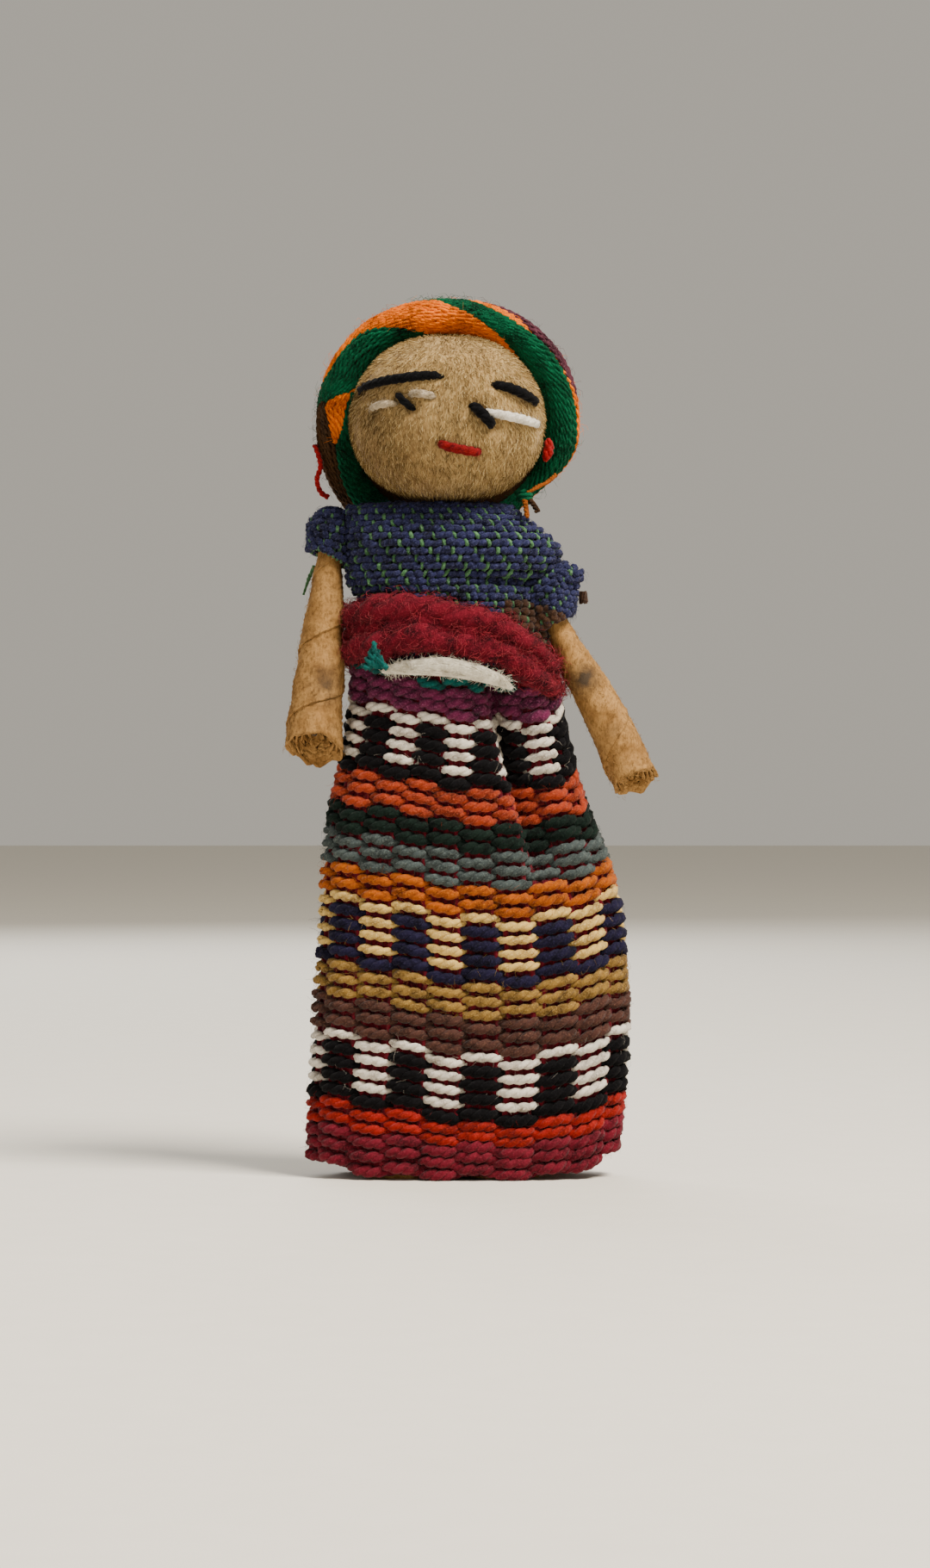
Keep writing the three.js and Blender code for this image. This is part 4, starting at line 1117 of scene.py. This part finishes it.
# How far the felt is pulled in near the ends of its stitches
def dimple(direction):
    if direction.y > 0:
        return 0.0
    pull = 0.0
    for u, w in stitchEnds:
        away = (direction.x - u) ** 2 + (direction.z - w) ** 2
        pull += head["dimple"] * math.exp(-away / head["dimpleSpread"])
    return min(pull, 0.4)


felt = feltMaterial("brushed tan felt", "#62492b", "#9a7e50", "#c4a974", -37.5, -32.5)
ball = bmesh.new()
bmesh.ops.create_icosphere(ball, subdivisions=6, radius=1)
for vertex in ball.verts:
    direction = vertex.co.normalized()
    point = feltPoint(direction, 0.1 * noise.noise(direction * 2.2) - 0.08 - dimple(direction))
    gather = head["gather"] * smooth(direction.y, 0.55, 1)  # pleats where it is drawn together behind
    turn = math.atan2(direction.z, direction.x)
    point.y -= gather * (1 + 0.5 * math.cos(head["pleats"] * turn))
    vertex.co = (point + axisPlace) * mm
feltPiece = makePiece("head_felt_cover", ball, felt, "head")
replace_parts(feltPiece, "head_felt", "head_stuffing")

napColours = {
    "nap_light": yarnMaterial("pale felt fibre", "#9f8655", "#c9ae76", "#e6d6aa", 0.1, 3.0),
    "nap_middle": yarnMaterial("tan felt fibre", "#785f39", "#a28650", "#c2a972", 0.1, 3.0),
    "nap_dark": yarnMaterial("brown felt fibre", "#4d3a20", "#6c5431", "#8c7247", 0.03, 3.0),
}
nap = {name: [] for name in napColours}
while sum(len(strands) for strands in nap.values()) < head["fibres"]:
    direction = Vector([random.gauss(0, 1) for _ in range(3)]).normalized()
    if direction.y > 0.3:  # the wrap covers the rest
        continue
    normal = byHalf(direction, head["feltHalf"]).normalized()
    root = feltPoint(direction, -0.1 - dimple(direction))
    down = (-upwards + normal * normal.z).normalized()
    sideways = normal.cross(upwards)
    lying = (down + sideways * random.gauss(0, 0.55)).normalized()
    length = random.uniform(*head["fibreLengths"])
    lift = random.uniform(0.05, 0.3)
    # painted shade: the nap is darker on its lower right cheek, turned away from the key light, and next to the
    # wrap, where it presses on the felt
    paintedShade = clamp(0.3 - 0.7 * direction.x - 0.8 * direction.z) + 0.5 * smooth(direction.y, -0.4, -0.1)
    colour = random.choices(list(nap), (3, 5, 1.6 + 11 * paintedShade))[0]
    nap[colour].append([(root, 1.0), (root + lying * length + normal * lift, 0.5)])
for name, strands in nap.items():
    makeStrands(name, strands, head["fibreRadius"], napColours[name], "head", sides=4)
print("head felted")


# Face: each feature is one stitch of thread that dives into the felt at both ends
thread = {"steps": 14, "strand": 0.62, "orbit": 0.36, "twist": 1.9, "fuzz": 80, "fuzzRadius": 0.01,
          "fuzzLengths": (0.2, 0.5)}


def stitchPath(ends, radius):
    path = []
    for k in range(thread["steps"] + 1):
        t = k / thread["steps"]
        u, w = mix(ends[0][0], ends[1][0], t), mix(ends[0][1], ends[1][1], t)
        edge = math.sin(math.pi * t) ** 0.35 if 0 < t < 1 else 0
        path.append((facePoint(u, w, mix(-0.3, radius * 0.4 + 0.08, edge)), mix(0.7, 1, edge)))
    return path


blackCotton = yarnMaterial("black sewing cotton", "#020203", "#060608", "#151519", 0.03, 0.5)
whiteCotton = yarnMaterial("white embroidery cotton", "#a79f90", "#d8d2c5", "#f4f0e8", 0.1, 0.5)
# the right eye's whites are a duller, darker copy of the white cotton
dullWhiteCotton = yarnMaterial("worn white embroidery cotton", "#6c5d45", "#9f9078", "#cbbda5", 0.1, 0.5)
redCotton = yarnMaterial("red embroidery cotton", "#4a0609", "#870e12", "#ad2826", 0.05, 0.5)
mouthCotton = yarnMaterial("dark red embroidery cotton", "#3a0508", "#6c0b10", "#951f20", 0.03, 0.5)
threadOf = {
    "right_eyebrow": (blackCotton, "black_thread", 0.38),
    "left_eyebrow": (blackCotton, "black_thread", 0.4),
    "right_eye_outer_white": (dullWhiteCotton, "white_thread", 0.28),
    "right_eye_inner_white": (dullWhiteCotton, "white_thread", 0.3),
    "right_pupil": (blackCotton, "black_thread", 0.28),
    "left_eye_white": (whiteCotton, "white_thread", 0.36),
    "left_pupil": (blackCotton, "black_thread", 0.42),
    "mouth": (mouthCotton, "red_thread", 0.38),
}
faceFuzz = {}  # by material
for name, ends in stitches.items():
    material, slot, radius = threadOf[name]
    path = stitchPath(ends, radius)
    strands = twistPlies(path, radius * thread["orbit"], thread["twist"], across=backwards, plies=3)
    piece = makeStrands(f"{name}_thread", strands, radius * thread["strand"], material, "head")
    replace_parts(piece, name)
    fuzz = faceFuzz.setdefault(material.name, (material, slot, []))[2]
    for _ in range(thread["fuzz"]):
        point = random.choice(path[1:-1])[0]
        outward = (point - head["feltCentre"]).normalized()
        fuzz.append(looseFibre(point + outward * radius * 0.5, outward, thread["fuzzLengths"]))
for name, (material, slot, strands) in faceFuzz.items():
    label = name.replace(" ", "_")
    makeStrands(f"face_{label}_fuzz", strands, thread["fuzzRadius"], material, "head", sides=4)
print("face stitched")

# Headwrap: two-ply yarns in coloured groups that wind slowly round a ring behind the face
wrap = {
    "lean": 21.8,
    "halfWidth": 7.83,
    "halfHeight": 7.8,
    "squareness": 2.2,
    "radius": 1.25,
    "ply": 0.12,
    "orbit": 0.09,
    "twist": 1.25,
    "steps": 220,
    "spacing": 0.32,
    "buried": 1.5,  # width in degrees below which a group is hidden under the others
    "full": 14,  # width from which it lies on top, and how far it sinks in where it is narrower
    "sinking": 0.6,
    "loft": 0.07,
    "centre": Vector((-0.605, 2.95, 51.7)),
    "first": 278,  # places where the turns begin and end
    "last": -82,
    # Boundaries between neighbouring groups: the place round the ring in degrees, seen from the front, and the
    # angle round the bundle, where 90 is its outer edge, 0 its front and -90 its inner edge
    "boundaries": [
        [(278, 76), (262, 70), (238, 30), (214, 14), (208, 9), (201, 4), (194, 1), (189, 0), (184, -12), (178, -27),
         (171, -34), (164, -36), (159, -40), (152, -90), (125, -135), (95, -172), (-82, -180)],
        [(278, 78), (262, 72), (238, 31), (214, 15), (201, 5), (189, 2), (183, 8), (176, 20), (171, 34), (168, 44),
         (165, 26), (161, 0), (158, -35), (150, -88), (123, -133), (93, -171), (-82, -180)],
        [(278, 80), (262, 84), (238, 105), (185, 103), (172, 97), (168, 62), (165, 28), (161, 2), (158, -33),
         (150, -86), (121, -131), (91, -170), (-82, -180)],
        [(278, 82), (262, 100), (238, 160), (200, 170), (172, 110), (163, 93), (153, 66), (146, 66), (140, 64),
         (133, 63), (128, 53), (122, 33), (116, 11), (110, -12), (104, -38), (96, -90), (60, -140), (20, -172),
         (-82, -180)],
        [(278, 180), (150, 170), (115, 130), (95, 92), (90, 60), (83, 38), (75, 16), (68, -3), (60, -22), (54, -42),
         (48, -56), (40, -85), (8, -130), (-30, -168), (-82, -180)],
        [(278, 180), (110, 170), (88, 120), (77, 82), (71, 64), (64, 55), (58, 49), (51, 45), (44, 47), (36, 50),
         (28, 51), (20, 55), (11, 58), (3, 60), (-5, 61), (-15, 64), (-30, 72), (-82, 76)],
        [(278, 180), (110, 175), (80, 122), (62, 74), (55, 59), (49, 53), (43, 55), (35, 59), (28, 61), (21, 66),
         (13, 76), (8, 62), (3, 62), (-5, 63), (-15, 66), (-30, 74), (-82, 78)],
        [(278, 180), (60, 176), (40, 140), (28, 108), (20, 98), (13, 88), (8, 70), (3, 65), (-5, 65), (-15, 68),
         (-30, 76), (-82, 80)],
    ],
    "groups": [
        "wrapGreen", "wrapOrange", "wrapBrown", "wrapGreen", "wrapOrange", "wrapGreen", "wrapOrange", "wrapMaroon",
        "wrapOrange",
    ],
    "fibres": 2200,
    "fibreRadius": 0.01,
    "fibreLengths": (0.3, 1.0),
}
wrapYarns = {
    "wrapGreen": yarnMaterial("green wrapping cotton", "#02170e", "#04492e", "#0f7049", 0.02, 1.5),
    "wrapOrange": yarnMaterial("orange wrapping cotton", "#853300", "#dd6a02", "#f08a0c", 0.0, 1.5),
    "wrapBrown": yarnMaterial("brown wrapping cotton", "#150c06", "#382413", "#5e442b", 0.02, 1.5),
    "wrapMaroon": yarnMaterial("maroon wrapping cotton", "#1f0c12", "#4b2430", "#744955", 0.02, 1.5),
}
lean = math.radians(wrap["lean"])
ringRight = Vector((1, 0, 0))
ringUp = Vector((0, -math.sin(lean), math.cos(lean)))
ringBack = Vector((0, math.cos(lean), math.sin(lean)))


# The ring thins and draws in on the left, where the yarns are caught together in a knot, and where it closes below
def thinned(place):
    return max(smooth(-place, 4, 42), smooth(place, 234, 262))


# A point of the ring: its place, the angle round the bundle there, and the share of the bundle's radius
def ringPoint(place, around, share):
    a, b = math.radians(place), math.radians(around)
    c, s = math.cos(a), math.sin(a)
    power = wrap["squareness"]
    full = (abs(c) ** power + abs(s) ** power) ** (-1 / power) * (1 - 0.1 * thinned(place))
    distance = share * mix(wrap["radius"] - 0.08 * bump(place, 90, 45), 0.5, thinned(place))
    out = Vector((c / wrap["halfWidth"], s / wrap["halfHeight"])).normalized()
    x = wrap["halfWidth"] * c * full + out.x * distance * math.sin(b)
    z = wrap["halfHeight"] * s * full + out.y * distance * math.sin(b)
    return wrap["centre"] + ringRight * x + ringUp * z - ringBack * distance * math.cos(b)


def boundaryAt(keys, place):
    for (a, low), (b, high) in zip(keys, keys[1:]):
        if a >= place >= b:
            return mix(low, high, smooth(a - place, 0, a - b) * 0.4 + 0.6 * (a - place) / (a - b))
    return keys[-1][1]


# One yarn of a group, in runs, because it ends where the group goes under its neighbours
def layYarn(group, share, lift, fuzz):
    runs = [[]]
    for k in range(wrap["steps"]):
        place = mix(wrap["first"], wrap["last"], k / (wrap["steps"] - 1))
        low, high = boundaryAt(edges[group], place), boundaryAt(edges[group + 1], place)
        width = high - low
        if width < wrap["buried"]:
            runs.append([])
            continue
        sunk = 1 - wrap["sinking"] * (1 - smooth(width, 0, wrap["full"]))
        around = low + width * share
        loft = wrap["loft"] * noise.noise(Vector((k * 0.04, lift * 2.1, group * 4.0)))
        point = ringPoint(place, around, (0.9 + loft) * sunk)
        runs[-1].append((point, 1.0))
        if width > wrap["full"] and random.random() < wrap["fibres"] / (60 * wrap["steps"]):
            outward = (point - ringPoint(place, around, 0)).normalized()
            fuzz.append(looseFibre(point + outward * 0.15, outward, wrap["fibreLengths"]))
    return [run for run in runs if len(run) > 3]


wrapStrands = {name: [] for name in wrapYarns}
wrapFuzz = {name: [] for name in wrapYarns}
first, last = wrap["first"], wrap["last"]
edges = [[(first, -180), (last, -180)], *wrap["boundaries"], [(first, 180), (last, 180)]]
for group, name in enumerate(wrap["groups"]):
    widest = max(boundaryAt(edges[group + 1], p) - boundaryAt(edges[group], p) for p in range(last, first + 1, 4))
    count = max(3, round(widest / 360 * fullTurn * wrap["radius"] / wrap["spacing"]))
    for j in range(count):
        share = (j + 0.5 + random.uniform(-0.2, 0.2)) / count
        for run in layYarn(group, share, j, wrapFuzz[name]):
            twist = wrap["twist"] * random.uniform(0.9, 1.1)
            phase = random.uniform(0, 6)
            wrapStrands[name] += twistPlies(run, wrap["orbit"], twist, phase=phase, across=ringBack)
for name, strands in wrapStrands.items():
    yarn = wrapYarns[name]
    piece = makeStrands(f"headwrap_{name}", strands, wrap["ply"], yarn, "head", sides=4)
    makeStrands(f"headwrap_{name}_fuzz", wrapFuzz[name], wrap["fibreRadius"], yarn, "head", sides=4)
    if name == "wrapGreen":
        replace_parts(piece, "headwrap_yarn")
corePath = []
for k in range(90):
    place = mix(first, last, k / 90)
    corePath.append((ringPoint(place, 0, 0), mix(1, 0.4, thinned(place))))
core = makeStrands(
    "headwrap_inner_turns", [corePath], wrap["radius"] - 0.25, wrapYarns["wrapBrown"], "head",
    closed=True, sides=12,
)
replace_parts(core, "headwrap_core")

# Behind the ring the same yarn is wound into a cap over the back of the head, round and round to its crown
cap = {
    "halfWidth": 7.55,
    "height": 3.75,
    "first": 13,  # angle of the first turn and of the last one, in degrees from the rim
    "last": 88,
    "turns": 24,
    "stepsPerTurn": 110,
    "ply": 0.13,
    "orbit": 0.1,
    "twist": 1.0,
    "domeInset": 0.2,  # how far below the yarn its core lies
    "bands": [
        ("hair_cap_brown", 0.0, 0.52, "wrapBrown"), ("hair_cap_maroon", 0.52, 0.6, "wrapMaroon"),
        ("hair_cap_brown_crown", 0.6, 0.82, "wrapBrown"), ("hair_cap_green", 0.82, 0.88, "wrapGreen"),
        ("hair_cap_crown", 0.88, 1.0, "wrapBrown"),
    ],
}
capPath = []
capSteps = cap["turns"] * cap["stepsPerTurn"]
for k in range(capSteps + 1):
    t = k / capSteps
    rise = math.radians(mix(cap["first"], cap["last"], t))
    turn = fullTurn * cap["turns"] * t
    r = cap["halfWidth"] * math.cos(rise)
    x, z = r * math.cos(turn), r * math.sin(turn)
    lift = cap["height"] * math.sin(rise) + 0.1 * noise.noise(Vector((x, z, 3)) * 0.5)
    capPath.append((wrap["centre"] + ringRight * x + ringUp * z + ringBack * lift, 1.0))
for name, low, high, colour in cap["bands"]:
    part = capPath[int(low * len(capPath)):int(high * len(capPath)) + 2]
    plies = twistPlies(part, cap["orbit"], cap["twist"], across=ringBack)
    capPiece = makeStrands(name, plies, cap["ply"], wrapYarns[colour], "head", sides=4)
    if name == "hair_cap_brown":
        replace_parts(capPiece, "hair_cap_yarn")

dome = bmesh.new()
bmesh.ops.create_uvsphere(dome, u_segments=48, v_segments=24, radius=1)
allOfIt = dome.verts[:] + dome.edges[:] + dome.faces[:]
bmesh.ops.bisect_plane(dome, geom=allOfIt, plane_co=(0, 0, 0), plane_no=(0, 0, -1), clear_outer=True)
bmesh.ops.holes_fill(dome, edges=[edge for edge in dome.edges if edge.is_boundary], sides=0)
for vertex in dome.verts:
    x, y, z = vertex.co
    place = (ringRight * x + ringUp * y) * (cap["halfWidth"] - cap["domeInset"])
    place += ringBack * z * (cap["height"] - cap["domeInset"])
    vertex.co = (wrap["centre"] + place + axisPlace) * mm
bmesh.ops.recalc_face_normals(dome, faces=dome.faces)
domePiece = makePiece("hair_cap_under", dome, wrapYarns["wrapBrown"], "head", smoothly=False)
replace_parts(domePiece, "hair_cap_core")
print("headwrap wound")


# Ends of thread round the head, each a short smooth length of two-ply thread on the head
def softThread(name, origin, offsets, radius, material, node):
    points = [origin + Vector(offset) for offset in offsets]
    path = []
    for k in range(len(points) - 1):
        a, b = points[k], points[k + 1]
        before, after = points[max(k - 1, 0)], points[min(k + 2, len(points) - 1)]
        for step in range(5):
            path.append((curved(a, b, (b - before) / 2, (after - a) / 2, step / 5), 1.0))
    path.append((points[-1], 1.0))
    plies = twistPlies(path, radius * 0.45, radius * 4, across=backwards)
    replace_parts(makeStrands(name, plies, radius * 0.62, material, "head"), node)


earPath = [(head["centre"] + Vector((x, y, z)), share) for x, y, z, share in [
    (6.62, 0.95, -1.15, 0.35), (6.66, 0.95, -1.4, 0.8), (6.66, 0.98, -1.75, 1.0), (6.6, 1.0, -2.1, 1.05),
    (6.5, 1.05, -2.45, 0.8), (6.4, 1.1, -2.7, 0.3)]]
earPlies = twistPlies(earPath, 0.17, 1.6, plies=3, across=backwards)
earStitch = makeStrands("left_ear_red", earPlies, 0.24, redCotton, "head")
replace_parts(earStitch, "left_ear_stitch")
wrapEdge = head["centre"] - ringRight * (wrap["halfWidth"] + wrap["radius"] + 0.3)
softThread(
    "right_ear_red", wrapEdge, [
        (-0.12, 3.9, -1.35), (0.16, 3.8, -2.15), (0.28, 3.85, -2.9), (0.02, 3.9, -3.75), (0.28, 3.9, -4.6),
        (0.8, 4.0, -4.95),
    ], 0.2, redCotton, "right_ear_thread",
)

# The wrap is tied off in a knot below the chin's left side, with two short tails
knot = {"place": head["centre"] + Vector((5.0, 0.3, -5.2)), "radius": 0.42, "rise": 0.38, "yarn": 0.16}
endCotton = yarnMaterial("worn orange cotton", "#3a1b07", "#7a3b0c", "#a8662a", 0.0, 1.0)
softThread(
    "wrap_end_strand", knot["place"], [(2.2, 3.3, 1.75), (1.6, 2.3, 1.2), (0.85, 1.2, 0.75), (0.15, 0.3, 0.25)],
    0.17, endCotton, "headwrap_end_strand",
)
knotStrand = []
for k in range(40):
    a = fullTurn * k / 14
    rise = mix(-knot["rise"], knot["rise"], k / 39)
    r = knot["radius"] * math.sqrt(max(1 - (rise / 0.5) ** 2, 0.1))
    knotStrand.append((knot["place"] + Vector((r * math.cos(a), r * math.sin(a), rise)), 1.0))
knotPiece = makeStrands("wrap_knot", [knotStrand], knot["yarn"], wrapYarns["wrapGreen"], "head")
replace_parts(knotPiece, "headwrap_knot")
softThread(
    "wrap_front_tail", knot["place"], [(0, -0.6, -0.3), (0.05, -1.4, -0.8), (0.12, -2.1, -1.45)],
    0.21, endCotton, "headwrap_front_tail",
)
softThread(
    "wrap_back_tail", knot["place"], [(0.3, -0.1, -0.2), (0.6, -0.9, -0.6), (0.85, -1.5, -1.1)],
    0.21, wrapYarns["wrapBrown"], "headwrap_back_tail",
)
print("loose ends tied")

# Wadding inside the clothes, and the paper and wire that hold them up
wadding = {"fill": 0.4, "foldWidth": 1.9, "foldRoom": 1.5}
waddingCotton = yarnMaterial("loose cotton wadding", "#cfc8b8", "#ece6d8", "#ffffff", 0.3, 1.5)
for name in ("right_skirt_wadding", "left_skirt_wadding", "right_chest_wadding", "left_chest_wadding"):
    fill = bmesh.new()
    fill.from_mesh(nodes[name].data)
    bmesh.ops.remove_doubles(fill, verts=fill.verts, dist=0.001 * mm)
    bmesh.ops.subdivide_edges(fill, edges=fill.edges, cuts=1, use_grid_fill=True)
    for vertex in fill.verts:  # it gives way to the skirt's fold
        x, y, z = Vector(vertex.co) / mm - axisPlace
        foldX, foldDepth = foldAt(z)
        if y < 0 and foldDepth > 0 and "skirt" in name:
            dent = foldDepth * bump(x, foldX, wadding["foldWidth"])
            depth = stationAt(skirt["stations"], clamp(z / skirt["length"]))[2]
            room = max(depth - dent - wadding["foldRoom"], 0.1)
            vertex.co.y = max(vertex.co.y, (axisPlace.y - room) * mm)
    for _ in range(2):
        bmesh.ops.smooth_vert(fill, verts=fill.verts, factor=0.5, use_axis_x=True, use_axis_y=True, use_axis_z=True)
    piece = makePiece(f"{name}_cotton", fill, waddingCotton, "torso", smoothly=False)
    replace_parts(piece, name)
for name, node in nodes.items():
    for word, material in (("wire", steel), ("paper_roll", kraft)):
        if word in name:
            node.data.materials.clear()
            node.data.materials.append(material)
print("inside made")

# Floor and studio light
floorMaterial, tree, place = newMaterial("matt paper floor")
grain = addNode(tree, "TexNoise", {"Vector": place, "Scale": 1000 / 3.0, "Detail": 3.0})
pale = addNode(tree, "Mix", {0: grain, 6: linear("#e2ddd2"), 7: linear("#dcd7cb")}, data_type="RGBA")
surface = addNode(tree, "BsdfPrincipled", {"Base Color": pale, "Roughness": 0.9})
addNode(tree, "OutputMaterial", {"Surface": surface})
slab = bmesh.new()
bmesh.ops.create_grid(slab, x_segments=1, y_segments=1, size=1.5)
makePiece("floor", slab, floorMaterial, smoothly=False)

world = bpy.data.worlds.new("studio")
bpy.context.scene.world = world
world.use_nodes = True
background = world.node_tree.nodes["Background"]
background.inputs["Color"].default_value = linear("#e3dccf")
background.inputs["Strength"].default_value = 0.6


def softLight(name, place, target, size, power, colour):
    data = bpy.data.lights.new(name, "AREA")
    data.shape = "SQUARE"
    data.size = size
    data.energy = power
    data.color = linear(colour)[:3]
    lamp = bpy.data.objects.new(name, data)
    bpy.context.scene.collection.objects.link(lamp)
    lamp.location = place
    lamp.rotation_euler = (Vector(target) - Vector(place)).to_track_quat("-Z", "Y").to_euler()


softLight("key light", (0.17, -0.16, 0.36), (0, 0, 0.03), 0.15, 4.1, "#fff6ea")
softLight("fill light", (-0.3, -0.3, 0.12), (0, 0, 0.03), 0.25, 0.2, "#f2f5ff")
softLight("back light", (-0.1, 0.35, 0.25), (0, 0, 0.03), 0.3, 1.2, "#ffffff")
print("lights set")

# The two cloths, and the girth each was cut to
skirtRound = Ring(skirtPoint, rows / 2).lengths[-1]
blouseRound = Ring(blousePoint, 0.6).lengths[-1]
